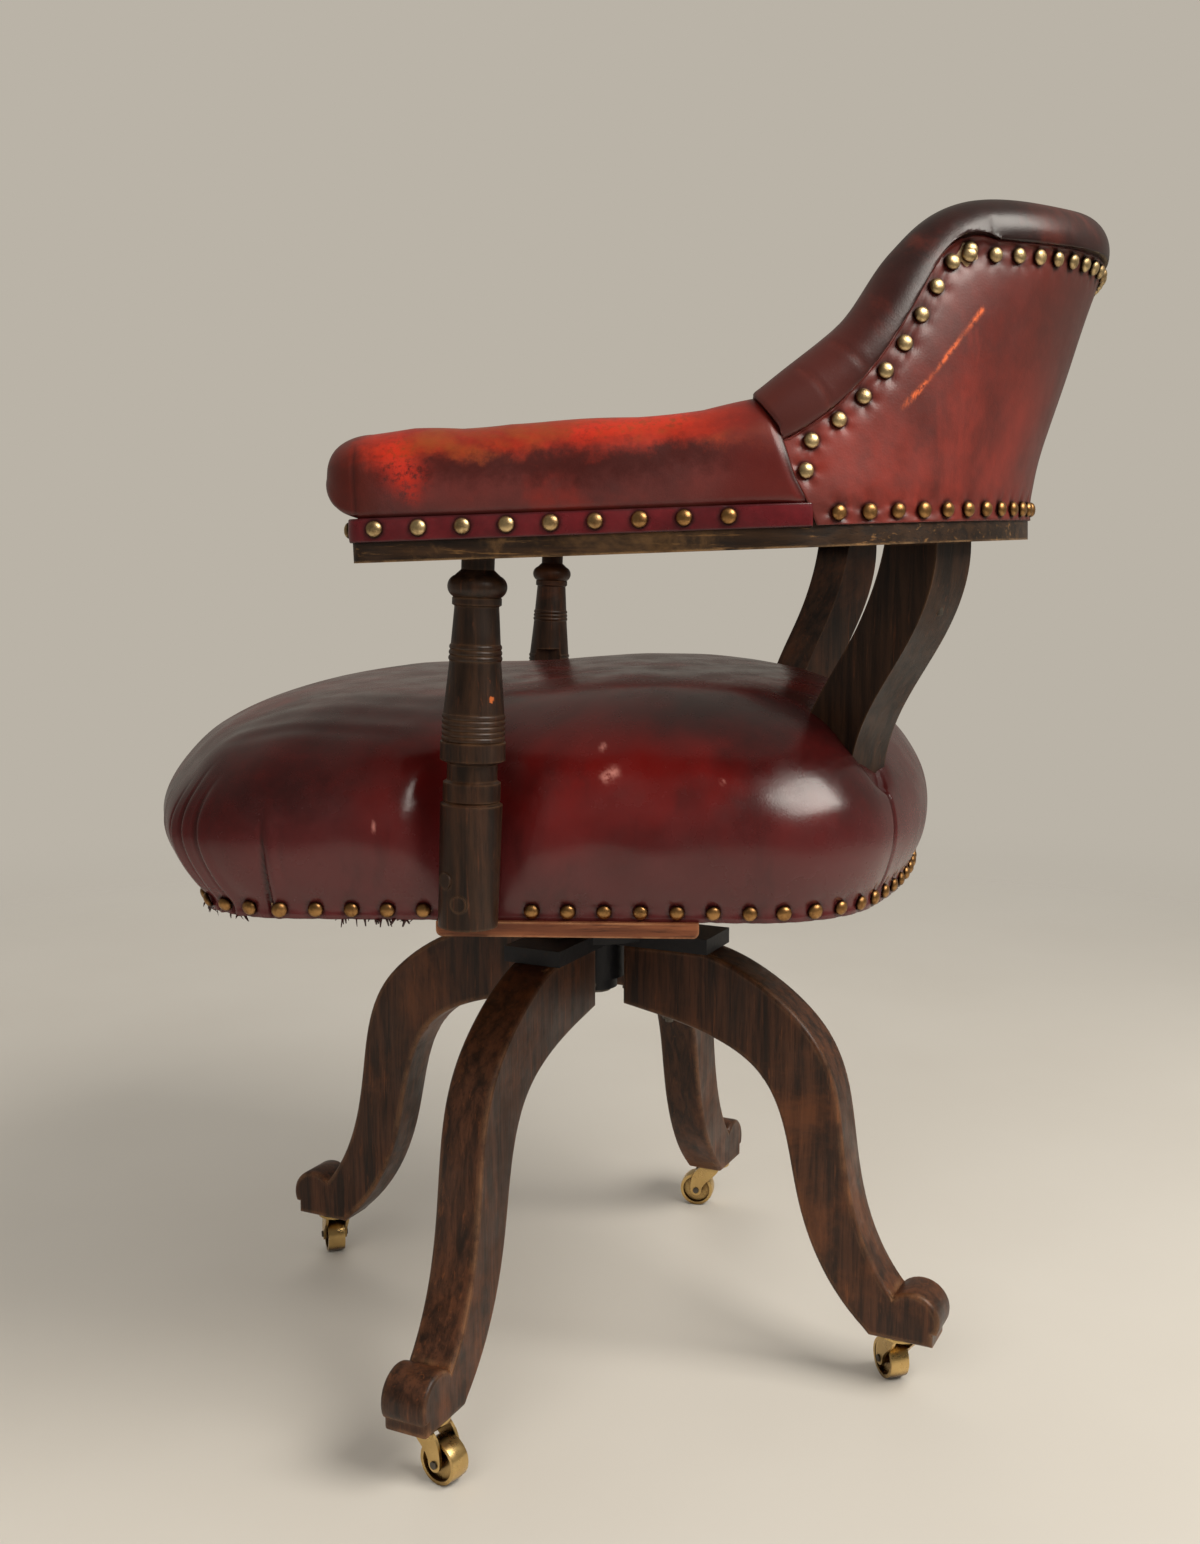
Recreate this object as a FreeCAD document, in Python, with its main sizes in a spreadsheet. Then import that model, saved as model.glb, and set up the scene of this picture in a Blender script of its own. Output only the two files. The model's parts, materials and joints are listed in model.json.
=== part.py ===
import FreeCAD, Part
import Sketcher
import math
import os
import re

# Bankers swivel chair, millimetres, +Z up.
# The origin is on the floor under the swivel axis. The sitter faces -Y, and +X is the sitter's left.

V = FreeCAD.Vector
X_AXIS = V(1, 0, 0)
Z_AXIS = V(0, 0, 1)

SIZES = [
    # casters
    ("wheel_diameter", "32", "caster wheel over its crown"),
    ("wheel_tread", "15", "width of the wheel"),
    ("wheel_crown", "0.6", "rise of the tread at its middle"),
    ("wheel_crown_radius", "47", "radius of the crowned tread"),
    ("wheel_rim", "3.2", "width of the rim seen from the side"),
    ("wheel_recess", "3", "depth of the recess in each side"),
    ("wheel_hub_diameter", "9", "hub inside the recess"),
    ("wheel_side_gap", "0.5", "gap between wheel and fork arm"),
    ("axle_diameter", "3.2", "steel axle"),
    ("axle_head_diameter", "5.4", "riveted end of the axle"),
    ("axle_head_thickness", "1.2", "riveted end of the axle"),
    ("running_clearance", "0.05", "radial clearance of wheel bores and swivel pins"),
    ("fork_thickness", "2.5", "one arm of the fork"),
    ("fork_rise", "22", "axle to the underside of the yoke"),
    ("fork_trail", "15", "swivel axis to axle"),
    ("fork_eye_radius", "5.2", "round end of the fork arm"),
    ("fork_front", "7", "yoke ahead of the swivel axis"),
    ("fork_back", "9", "yoke behind the swivel axis"),
    ("yoke_thickness", "2.7", "bridge between the fork arms"),
    ("swivel_gap", "0.3", "yoke to plate, and plate to pin head"),
    ("swivel_pin_diameter", "7", "pin riveted through the plate"),
    ("swivel_head_diameter", "11", "head of the pin inside the foot"),
    ("swivel_head_thickness", "2", "head of the pin inside the foot"),
    ("swivel_pocket_gap", "1.2", "room round the pin head in the foot"),
    ("plate_diameter", "32", "round caster plate"),
    ("plate_thickness", "2", "round caster plate"),
    ("plate_screw_circle", "11.5", "radius of the screw circle of a plate"),
    ("plate_screw_diameter", "2.6", "shank of a plate screw"),
    ("plate_screw_head", "4.6", "head of a plate screw"),
    ("plate_screw_head_thickness", "1.4", "head of a plate screw"),
    ("plate_screw_length", "14", "plate screw under its head"),
    ("trail_left", "55", "direction in which the left caster trails, degrees"),
    ("trail_rear", "200", "direction in which the rear caster trails, degrees"),
    ("trail_right", "260", "direction in which the right caster trails, degrees"),
    ("trail_front", "200", "direction in which the front caster trails, degrees"),
    # legs
    ("base_azimuth", "-23.4", "direction of the left leg from +X, degrees"),
    ("leg_thickness", "35.7", "sawn thickness of a leg"),
    ("leg_rise", "282", "foot to top of a leg"),
    ("leg_start", "33", "inner end of a leg from the axis"),
    ("leg_shoulder", "100", "where the flat top of a leg ends"),
    ("leg_root_depth", "49", "height of the inner end of a leg"),
    ("caster_reach", "260", "swivel axis of a caster from the chair's axis"),
    ("knurl_radius", "21", "scroll at the toe"),
    ("knurl_ahead", "12", "centre of the scroll beyond the caster axis"),
    ("knurl_rise", "19", "centre of the scroll above the foot"),
    ("toe_step", "10", "height of the step under the scroll"),
    ("toe_reach", "28", "step beyond the caster axis"),
    ("heel_reach", "21", "heel behind the caster axis"),
    ("heel_bevel", "5", "bevel of the heel"),
    # iron base
    ("arm_width", "47", "iron arm of the base"),
    ("arm_thickness", "12", "iron arm of the base"),
    ("arm_reach", "107", "end of an iron arm from the axis"),
    ("arm_root", "4", "iron arm inside the hub"),
    ("disc_radius", "56", "disc on the iron arms"),
    ("disc_rise", "5", "underside of the disc above the leg tops"),
    ("disc_thickness", "12", "disc on the iron arms"),
    ("hub_radius", "24", "hub round the spindle"),
    ("hub_drop", "32", "hub below the leg tops"),
    ("bolt_reach", "66", "leg bolt from the axis"),
    ("bolt_diameter", "6", "leg bolt"),
    ("bolt_head_diameter", "11", "head of a leg bolt"),
    ("bolt_head_thickness", "4", "head of a leg bolt"),
    ("bolt_grip", "54", "leg top to the washer under the leg"),
    ("bolt_end", "3", "thread beyond the nut"),
    ("washer_radius", "6.5", "washer under the leg"),
    ("washer_thickness", "1.6", "washer under the leg"),
    ("nut_radius", "5.8", "corner radius of a nut"),
    ("nut_thickness", "5", "nut under the leg"),
    # spindle
    ("spindle_diameter", "26", "steel spindle"),
    ("spindle_clearance", "0.05", "radial clearance in the hub"),
    ("thrust_thickness", "1.2", "thrust washer on the hub"),
    ("thrust_gap", "0.1", "thrust washer to flange"),
    ("thrust_play", "1", "thrust washer round the spindle"),
    ("flange_radius", "23", "spindle flange"),
    ("flange_thickness", "8", "spindle flange"),
    ("neck_radius", "17", "spindle between flange and seat iron"),
    ("neck_height", "24", "spindle between flange and seat iron"),
    ("collar_radius", "18", "retaining collar"),
    ("collar_height", "9", "retaining collar"),
    ("collar_gap", "0.5", "hub to collar"),
    ("spindle_end", "3", "spindle below the collar"),
    ("collar_pin_diameter", "4", "cross pin of the collar"),
    # seat iron and board
    ("seat_iron_boss_radius", "28", "boss under the seat iron"),
    ("seat_iron_boss_height", "10", "boss under the seat iron"),
    ("seat_iron_thickness", "6", "bars of the seat iron"),
    ("seat_iron_width", "26", "bars of the seat iron"),
    ("seat_iron_side_reach", "150", "bar across the chair"),
    ("seat_iron_front_reach", "72", "bar along the chair"),
    ("board_overhang", "6", "seat board beyond the side of the seat frame"),
    ("board_front", "-86", "front edge of the seat board"),
    ("board_rear", "79.5", "rear edge of the seat board"),
    ("board_thickness", "9.5", "seat board"),
    ("board_edge_radius", "4", "rounded lower edges of the board"),
    ("iron_screw_diameter", "5", "screws of the seat iron"),
    ("iron_screw_head", "9", "screws of the seat iron"),
    ("iron_screw_head_thickness", "2", "screws of the seat iron"),
    ("iron_screw_cover", "1", "wood left over the screws of the seat iron"),
    ("board_screw_diameter", "5", "screws through the board into the side rails"),
    ("board_screw_head", "10", "screws through the board into the side rails"),
    ("board_screw_head_thickness", "2.5", "screws through the board into the side rails"),
    ("board_screw_length", "35", "screws through the board into the side rails"),
    ("board_screw_inset", "25", "screws from the front and rear edges of the board"),
    # seat frame and cushion
    ("seat_half_width", "279", "seat frame from the axis to its side"),
    ("seat_front", "-288", "front of the seat frame on the centre line"),
    ("seat_rear", "245", "rear of the seat frame on the centre line"),
    ("seat_front_bow", "650", "radius of the front edge"),
    ("seat_rear_bow", "520", "radius of the rear edge"),
    ("seat_front_corner", "65", "front corners of the seat"),
    ("seat_rear_corner", "90", "rear corners of the seat"),
    ("frame_width", "50", "width of a seat rail"),
    ("frame_height", "45", "height of a seat rail"),
    ("frame_front_joint", "-150", "joint between side and front rails"),
    ("webbing_thickness", "2", "jute webbing"),
    ("webbing_width", "50", "jute webbing"),
    ("webbing_pitch", "105", "spacing of the webbing straps"),
    ("spring_wire", "3.6", "coil spring wire"),
    ("spring_radius", "30", "coil spring"),
    ("spring_pitch", "9.5", "coil spring"),
    ("spring_spacing", "105", "springs from the middle one"),
    ("leather_thickness", "2", "hide"),
    ("cushion_centre", "-22", "middle of the cushion along the chair"),
    ("cushion_height", "148", "frame underside to the crown of the seat"),
    # turned posts
    ("post_set_out", "16.5", "axis of a post beyond the side of the seat frame"),
    ("post_foot_y", "-64.3", "axis of a post at the seat frame"),
    ("post_lean", "2.2", "lean of the posts, top to the rear, degrees"),
    ("post_radius", "19.2", "plain lower part of a post"),
    ("post_foot_radius", "18.6", "lower end of a post"),
    ("post_ring_radius", "20.1", "turned rings of a post"),
    ("post_spare", "0.8", "post above the bow's underside over the axis, before it is trimmed"),
    ("post_gap", "0.3", "hide round a post"),
    ("plug_diameter", "10.5", "wooden plug over a screw"),
    ("plug_depth", "6", "wooden plug over a screw"),
    ("plug_proud", "0.3", "plug beyond the plain part of the post"),
    ("plug_high", "31", "upper plug above the frame's underside"),
    ("plug_low", "17", "lower plug above the frame's underside"),
    ("plug_high_turn", "-44", "upper plug round the post, degrees"),
    ("plug_low_turn", "-12", "lower plug round the post, degrees"),
    ("post_screw_diameter", "5", "post screw"),
    ("post_screw_head", "9", "post screw"),
    ("post_screw_head_thickness", "3", "post screw"),
    ("post_screw_length", "44", "post screw"),
    # uprights
    ("upright_inset", "71.4", "outer top corner of an upright, inward of the bow's side"),
    ("upright_ahead", "75.4", "outer top corner of an upright, ahead of the bow's rear"),
    ("upright_spare", "12", "upright above the bow's underside over the axis, before it is trimmed"),
    ("upright_thickness", "36", "sawn thickness of an upright"),
    ("upright_top_width", "39", "width of an upright at the rail"),
    ("upright_foot_out", "60", "outer edge of the foot, inward of the top"),
    ("upright_foot_in", "108", "inner edge of the foot, inward of the top"),
    # arm bow
    ("arm_rise", "228.2", "underside of the seat frame to that of the arm bow, over the axis"),
    ("bow_tilt", "2.02", "arm bow rises to the rear, degrees"),
    ("bow_thickness", "25", "boards of the arm bow"),
    ("bow_width", "68", "boards of the arm bow"),
    ("arm_overhang", "46.5", "outer side of the arm bow beyond the side of the seat frame"),
    ("bow_front", "-127", "front end of the arms"),
    ("bow_front_corner", "9", "corners of the arm fronts"),
    ("bow_overhang", "66", "rear of the arm bow beyond the rear of the seat frame"),
    ("bow_corner", "210", "corners of the arm bow"),
    ("bow_curve", "1500", "radius of the rear edge"),
    ("dowel_diameter", "9", "dowels of the bow joints"),
    ("dowel_length", "50", "dowels of the bow joints"),
    ("dowel_spacing", "28", "pair of dowels in a joint"),
    ("upright_screw_diameter", "5.5", "screws down into the uprights"),
    ("upright_screw_head", "10", "screws down into the uprights"),
    ("upright_screw_head_thickness", "4", "screws down into the uprights"),
    ("upright_screw_length", "70", "screws down into the uprights"),
    ("upright_screw_spacing", "16", "pair of screws in an upright"),
    # arm pads and band
    ("pad_half_width", "32", "arm pad at the board"),
    ("pad_side_radius", "47", "swell of the sides of an arm pad"),
    ("pad_top_radius", "33.4", "crown of an arm pad"),
    ("pad_shoulder", "58", "height of the shoulder above the bow's underside"),
    ("pad_shoulder_height", "1", "upright stretch between side and crown"),
    ("pad_shoulder_inset", "1", "shoulder inward of the pad's foot"),
    ("pad_climb", "30", "top of an arm pad climbs to the seam over this length"),
    ("pad_top", "79", "height of an arm pad above the bow's underside"),
    ("nose_radius", "28", "rounded front of an arm pad"),
    ("nose_centre", "-115", "centre of the rounded front"),
    ("seam_top_y", "111", "upper end of the seam between arm and back"),
    ("seam_top_rise", "85", "upper end of the seam above the bow's underside"),
    ("seam_foot_y", "139.6", "lower end of the seam between arm and back"),
    ("band_rise", "12", "lower edge of the band above the bow's underside"),
    ("band_height", "13", "leather band"),
    # back
    ("back_narrowing", "45.5", "top edge of the back, inward of the bow's side"),
    ("back_overhang", "55", "top edge of the back beyond the bow's rear"),
    ("back_corner", "170", "back at its top edge"),
    ("back_curve", "800", "back at its top edge"),
    ("back_edge_rise", "175", "top edge of the outer panel above the bow's underside"),
    ("back_flare", "1.3", "power of the rearward flare"),
    ("back_frame_thickness", "16", "wooden back frame"),
    ("back_pad_thickness", "34", "padding inside the back frame"),
    ("window_height", "84", "openings of the back frame"),
    ("window_width", "150", "openings of the back frame"),
    ("window_foot", "30", "rail under the openings of the back frame"),
    ("window_centre", "183", "centre that the openings face, ahead of the bow's rear"),
    ("roll_radius", "24", "padded roll on the back"),
    # nails
    ("nail_diameter", "9.5", "brass nail"),
    ("nail_height", "3", "brass nail"),
    ("nail_shank_diameter", "1.8", "brass nail"),
    ("nail_shank_length", "7", "brass nail"),
    ("nail_post_gap", "2", "room between a nail's middle and a post's rings"),
    ("seat_nail_rise", "6", "seat nails above the frame's underside"),
    ("seat_nail_spacing", "23", "seat nails"),
    ("bow_nail_rise", "19.5", "arm and back nails above the bow's underside"),
    ("arm_nail_spacing", "26", "arm nails"),
    ("arm_nail_start", "6", "first arm nail behind the rounded corner"),
    ("arm_nail_end", "45", "last arm nail ahead of the seam's foot"),
    ("front_nail_spacing", "20.4", "nails across the front of an arm"),
    ("back_nail_start", "6", "lower nails of the back begin behind the seam's foot"),
    ("back_nail_spacing", "20", "lower nails of the back"),
    ("edge_nail_spacing", "19", "nails along the panel edge"),
    ("edge_nail_inset", "8", "nails below the panel edge"),
    ("edge_nail_lap", "20", "top nails begin ahead of the end of the slanting edge"),
]

# Shape points in millimetres, set out from the sizes above.

# Screws of the seat iron, as shares of its reach across and along the chair.
SEAT_IRON_SCREWS = [(0.45, 0), (0.9, 0), (0, 0.85)]
# Upper and lower edges of a leg: radius from the axis, height from the leg top (minus) or the foot (plus).
LEG_BACK_POLES = [
    ("leg_shoulder + 24", -3),
    ("caster_reach - 50", -49),
    ("caster_reach - 45", -145),
    ("caster_reach - 29", -217),
]
LEG_BELLY_POLES = [
    ("caster_reach - 55", 31),
    ("caster_reach - 87", 96),
    ("caster_reach - 92", -67),
    ("leg_start + 25", -54),
]
# Edges of an upright: inward of the top corner, height over the underside of the seat frame.
UPRIGHT_OUTER_POLES = [("67", "67"), ("64", "117"), ("15", "arm_rise - 54.2"), ("-2", "arm_rise - 11.2")]
UPRIGHT_INNER_POLES = [("42", "arm_rise - 8.2"), ("61", "arm_rise - 55.2"), ("109", "119"), ("115", "67")]
UPRIGHT_BEND = "44"
# Panel edge from the seam up to the level top: ahead of the bow's rear, height over the bow's underside.
EDGE_START = (188, 60)
EDGE_POLES = [(169, 68), (132, 95), (99, 146), (76, 189)]
EDGE_END = (49, 177.5)
# Fall of the panel edge from there to far behind the chair.
EDGE_FALL = 4
# Front of an arm pad: shares of the nose radius ahead of its centre, height over the bow's underside.
NOSE_POLES = [
    (0.7, "pad_top"),
    (1, "pad_top - nose_radius * 0.55"),
    (1, "bow_thickness + nose_radius * 0.6"),
    (0.85, "bow_thickness + 2"),
]
# Where the front of the pad meets the board, as a share of the nose radius ahead of its centre.
NOSE_FOOT = 0.5736
# Side profile of the cushion: height over the frame's underside, swell beyond the frame, shift forward.
CUSHION = [
    (0, 2, 0),
    (9, 2, 0),
    (22, 9, 2),
    (42, 16, 4),
    (58, 17, 5),
    (74, 13, 5),
    (92, 0, 4),
    (102, -10, 4),
    (118, -32, 0),
    (133, -64, 0),
    (143, -86, 0),
]
CUSHION_CROWN_SWELL = -140
# Middle line of the roll on one half: share of the bow's half width, beyond the bow's rear, height over
# the bow's underside.
ROLL_LINE = [
    (0.9094, -203, 61),
    (0.9186, -176, 78),
    (0.8909, -131, 112.5),
    (0.8326, -98, 155),
    (0.7711, -65, 179),
    (0.6390, -5, 182),
    (0.4608, 20, 183),
    (0, 30, 183),
]
# Heights over the bow's underside at which the back's outline is set out.
BACK_LEVELS = [12, 25, 55, 85, 115, 145, 190]
# Post turnings: distance below the post's top, radius, bulge radius of the stretch above or None.
POST_TURNINGS = [
    (152.0, "post_radius", None),
    (150.5, 16.8, None),
    (149.5, 17.8, None),
    (138.5, 17.8, None),
    (137.0, 15.5, None),
    (127.0, 15.5, None),
    (124.5, "post_ring_radius", None),
    (113.5, "post_ring_radius", None),
    (113.0, 18.7, "bead"),
    (109.6, 18.7, "bead"),
    (106.2, 18.7, "bead"),
    (102.8, 18.7, "bead"),
    (99.4, 18.7, "bead"),
    (96.0, 18.7, None),
    (64.0, 15.8, "bead"),
    (60.6, 15.6, "bead"),
    (57.2, 15.4, "bead"),
    (53.8, 15.2, None),
    (31.0, 13.6, None),
    (30.0, 15.1, None),
    (26.0, 15.1, None),
    (25.5, 14.5, "bulb"),
    (12.5, 13.9, None),
    (9.0, 10.1, None),
]
BULGES = {"bead": "2.2", "bulb": "7.3"}
# Straight steps in one turn of a spring
SPRING_STEPS = 12
# How far blocks that trim a piece reach beyond it
TRIM = 10
# How far outside the frame or the hide the places of nails are set out
SEAT_NAIL_GUIDE = 10
BACK_NAIL_GUIDE = 8

doc = FreeCAD.newDocument("bankers_swivel_chair")
sheet = doc.addObject("Spreadsheet::Sheet", "sizes")
for row, (alias, number, meaning) in enumerate(SIZES, 1):
    sheet.set("A%d" % row, meaning)
    sheet.set("B%d" % row, number)
    sheet.setAlias("B%d" % row, alias)
doc.recompute()

ALIASES = {alias for alias, number, meaning in SIZES}
NODES = {}


def linked(text):
    """Write an expression of plain size names with the sheet's name before each of them."""
    return re.sub(r"[a-z][a-z_]*", lambda word: word.group() if word.group() not in ALIASES
                  else "sizes." + word.group(), text)


def value(text):
    """Number that an expression of size names gives."""
    return float(sheet.evalExpression(linked(text)))


def bind(thing, **sizes):
    for name, text in sizes.items():
        thing.setExpression(name, linked(text))
    return thing


# Heights that stack on each other
FOOT = "(wheel_diameter / 2 + fork_rise + yoke_thickness + swivel_gap + plate_thickness)"
LEG_TOP = f"({FOOT} + leg_rise)"
HUB_TOP = f"({LEG_TOP} + disc_rise + disc_thickness)"
HUB_FOOT = f"({LEG_TOP} - hub_drop)"
FLANGE_FOOT = f"({HUB_TOP} + thrust_thickness + thrust_gap)"
SEAT_IRON_FOOT = f"({FLANGE_FOOT} + flange_thickness + neck_height)"
BOARD_FOOT = f"({SEAT_IRON_FOOT} + seat_iron_boss_height + seat_iron_thickness)"
FRAME_FOOT = f"({BOARD_FOOT} + board_thickness)"
BOW_HEIGHT = f"({FRAME_FOOT} + arm_rise)"
POST_HEIGHT = "(arm_rise + post_spare)"
UPRIGHT_TOP = f"({BOW_HEIGHT} + upright_spare)"
YOKE_FOOT = "(wheel_diameter / 2 + fork_rise)"
YOKE_TOP = f"({YOKE_FOOT} + yoke_thickness)"

# Widths and depths that follow from each other
FORK_GAP = "(wheel_tread + 2 * wheel_side_gap)"
POST_FACE = "(seat_half_width + leather_thickness)"
POST_SIDE = "(seat_half_width + post_set_out)"
BOW_HALF = "(seat_half_width + arm_overhang)"
BOW_REAR = "(seat_rear + bow_overhang)"
BACK_HALF = f"({BOW_HALF} - back_narrowing)"
BACK_REAR = f"({BOW_REAR} + back_overhang)"
UPRIGHT_X = f"({BOW_HALF} - upright_inset)"
UPRIGHT_Y = f"({BOW_REAR} - upright_ahead)"

# Edges of a fork arm behind and ahead of the axle
FORK_REAR_POLES = [
    ("fork_trail + 2", f"{YOKE_TOP} - 4"),
    ("fork_trail + fork_eye_radius + 1", "wheel_diameter / 2 + 12"),
]
FORK_FRONT_POLES = [
    ("fork_trail - fork_eye_radius - 1", "wheel_diameter / 2 + 9"),
    ("-fork_front + 3", f"{YOKE_FOOT} - 8"),
]


# Outlines: lists of (x, y, edge) going round, where edge leads to the next corner. None is a straight edge,
# a text is the radius of an arc (a minus sign turns it clockwise), and a list holds the poles of a curve.

def arc_centre(start, end, radius):
    """Centre of the minor arc from start to end, anticlockwise for a positive radius."""
    along = end - start
    side = V(-along.y, along.x, 0).normalize()
    reach = math.sqrt(radius * radius - along.Length * along.Length / 4)
    return (start + end) * 0.5 + side * math.copysign(reach, radius)


def edge_curve(start, end, edge):
    """Curve from start to end, and whether it runs backwards."""
    if edge is None:
        return Part.LineSegment(start, end), False
    if isinstance(edge, list):
        poles = [start] + [V(value(x), value(y), 0) for x, y in edge] + [end]
        curve = Part.BSplineCurve()
        curve.buildFromPoles(poles, False, 3)
        return curve, False
    radius = value(edge)
    centre = arc_centre(start, end, radius)
    first, last = (start, end) if radius > 0 else (end, start)
    circle = Part.Circle(centre, Z_AXIS, abs(radius))
    angles = [math.atan2(p.y - centre.y, p.x - centre.x) for p in (first, last)]
    return Part.ArcOfCircle(circle, angles[0], angles[1]), radius < 0


def corner_points(corners):
    return [V(value(x), value(y), 0) for x, y, edge in corners]


def draw(sketch, corners):
    """Add a closed outline whose corners, radii and poles are bound to the sheet."""
    points = corner_points(corners)
    count = len(corners)
    ends = []
    held = set()
    for i, (x, y, edge) in enumerate(corners):
        following = (i + 1) % count
        curve, backwards = edge_curve(points[i], points[following], edge)
        index = sketch.addGeometry(curve, False)
        ends.append((index, 2, 1) if backwards else (index, 1, 2))
        if isinstance(edge, list):
            first = sketch.GeometryCount
            sketch.exposeInternalGeometry(index)
            poles = [(x, y)] + edge + [corners[following][:2]]
            for step, (pole_x, pole_y) in enumerate(poles):
                hold(sketch, first + step, 3, pole_x, pole_y)
            held.update((i, following))
        elif edge is not None:
            size = sketch.addConstraint(Sketcher.Constraint("Radius", index, abs(value(edge))))
            sketch.setExpression("Constraints[%d]" % size, linked(edge.lstrip("-")))
    for i in range(count):
        index, start, end = ends[i]
        before, before_start, before_end = ends[i - 1]
        sketch.addConstraint(Sketcher.Constraint("Coincident", before, before_end, index, start))
        if i not in held:
            hold(sketch, index, start, corners[i][0], corners[i][1])


def hold(sketch, index, position, x, y):
    """Bind a sketch point to its two expressions."""
    for kind, text, axis in (("DistanceX", x, -2), ("DistanceY", y, -1)):
        number = value(text)
        if abs(number) < 1e-9:
            sketch.addConstraint(Sketcher.Constraint("PointOnObject", index, position, axis))
            continue
        size = sketch.addConstraint(Sketcher.Constraint(kind, -1, 1, index, position, number))
        sketch.setExpression("Constraints[%d]" % size, linked(text))


def wire(corners, placement=FreeCAD.Placement()):
    """The same kind of outline as a plain wire, for pieces that are shaped in code."""
    points = corner_points(corners)
    edges = []
    for i, (x, y, edge) in enumerate(corners):
        curve, backwards = edge_curve(points[i], points[(i + 1) % len(points)], edge)
        edges.append(curve.toShape())
    outline = Part.Wire(Part.__sortEdges__(edges))
    outline.Placement = placement
    return outline


def new_body(label, plane):
    body = doc.addObject("PartDesign::Body", label)
    body.Label = label
    origin_plane = [item for item in body.Origin.OriginFeatures if item.Role == plane][0]
    sketch = body.newObject("Sketcher::SketchObject", label + "_sketch")
    sketch.AttachmentSupport = (origin_plane, "")
    sketch.MapMode = "FlatFace"
    return body, sketch


def prism(label, plane, outlines, length, symmetric=False):
    body, sketch = new_body(label, plane)
    for corners in outlines:
        draw(sketch, corners)
    pad = body.newObject("PartDesign::Pad", label + "_pad")
    pad.Profile = sketch
    pad.Midplane = symmetric
    bind(pad, Length=length)
    return body


def turned(label, corners):
    body, sketch = new_body(label, "XZ_Plane")
    draw(sketch, corners)
    turn = body.newObject("PartDesign::Revolution", label + "_turn")
    turn.Profile = sketch
    turn.ReferenceAxis = (sketch, ["V_Axis"])
    turn.Angle = 360
    return body


def box(label, length, width, height, placement=FreeCAD.Placement()):
    block = doc.addObject("Part::Box", label)
    bind(block, Length=length, Width=width, Height=height)
    block.Placement = placement
    return block


def boolean(kind, label, base, tool):
    result = doc.addObject("Part::" + kind, label)
    result.Base = base
    result.Tool = tool
    return result


def cut(label, base, *tools):
    """Cut the tools from the base one after another. The last cut carries the label."""
    for i, tool in enumerate(tools):
        name = label if i == len(tools) - 1 else "%s_cut_%d" % (label, i)
        base = boolean("Cut", name, base, tool)
    return base


def fused(label, parts):
    whole = doc.addObject("Part::MultiFuse", label)
    whole.Shapes = parts
    return whole


def coded(label, shape):
    """Piece whose shape is set in code, because no feature makes it."""
    piece = doc.addObject("Part::Feature", label)
    piece.Shape = shape
    return piece


def node(label, piece):
    piece.Label = label
    NODES[label] = piece
    return piece


def at(x=0, y=0, z=0, axis=Z_AXIS, angle=0):
    return FreeCAD.Placement(V(x, y, z), FreeCAD.Rotation(axis, angle))


def moved(shape, placement):
    copy = shape.copy()
    copy.Placement = placement.multiply(copy.Placement)
    return copy


def rod(radius, length, placement=FreeCAD.Placement()):
    return moved(Part.makeCylinder(radius, length), placement)


def screw(shank, head, head_thickness, length):
    """Screw that points along +Z, with the face of its head at the origin."""
    return rod(head / 2, head_thickness).fuse(rod(shank / 2, length))


def towards(point, direction):
    return FreeCAD.Placement(point, FreeCAD.Rotation(Z_AXIS, direction))


BOW_FRAME = at(z=value(BOW_HEIGHT), axis=X_AXIS, angle=value("bow_tilt"))


# Caster frames: origin on the floor under the swivel axis, +X towards the wheel

def caster_frame(azimuth, trail):
    return at(angle=azimuth) * at(x=value("caster_reach"), angle=trail - azimuth)


CORNERS = [
    (name, value("base_azimuth") + 90 * turn, value("trail_" + name))
    for turn, name in enumerate(("left", "rear", "right", "front"))
]


def caster_wheel(name, frame):
    half = "(wheel_tread / 2)"
    floor = f"({half} - wheel_recess)"
    rim = "(wheel_diameter / 2 - wheel_rim)"
    tread = "(wheel_diameter / 2 - wheel_crown)"
    bore = "(axle_diameter / 2 + running_clearance)"
    hub = "(wheel_hub_diameter / 2)"
    body = turned("caster_wheel_" + name, [
        (bore, f"-{half}", None),
        (hub, f"-{half}", None),
        (hub, f"-{floor}", None),
        (rim, f"-{floor}", None),
        (rim, f"-{half}", None),
        (tread, f"-{half}", "wheel_crown_radius"),
        (tread, half, None),
        (rim, half, None),
        (rim, floor, None),
        (hub, floor, None),
        (hub, half, None),
        (bore, half, None),
    ])
    body.Placement = frame * at(x=value("fork_trail"), z=value("wheel_diameter / 2"), axis=X_AXIS, angle=90)
    node("caster_wheel_" + name, body)


def caster_axle(name, frame):
    shank = "(axle_diameter / 2)"
    head = "(axle_head_diameter / 2)"
    grip = f"({FORK_GAP} / 2 + fork_thickness)"
    end = f"({grip} + axle_head_thickness)"
    body = turned("caster_axle_" + name, [
        ("0", f"-{end}", None),
        (head, f"-{end}", None),
        (head, f"-{grip}", None),
        (shank, f"-{grip}", None),
        (shank, grip, None),
        (head, grip, None),
        (head, end, None),
        ("0", end, None),
    ])
    body.Placement = frame * at(x=value("fork_trail"), z=value("wheel_diameter / 2"), axis=X_AXIS, angle=90)
    return node("caster_axle_" + name, body)


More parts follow.
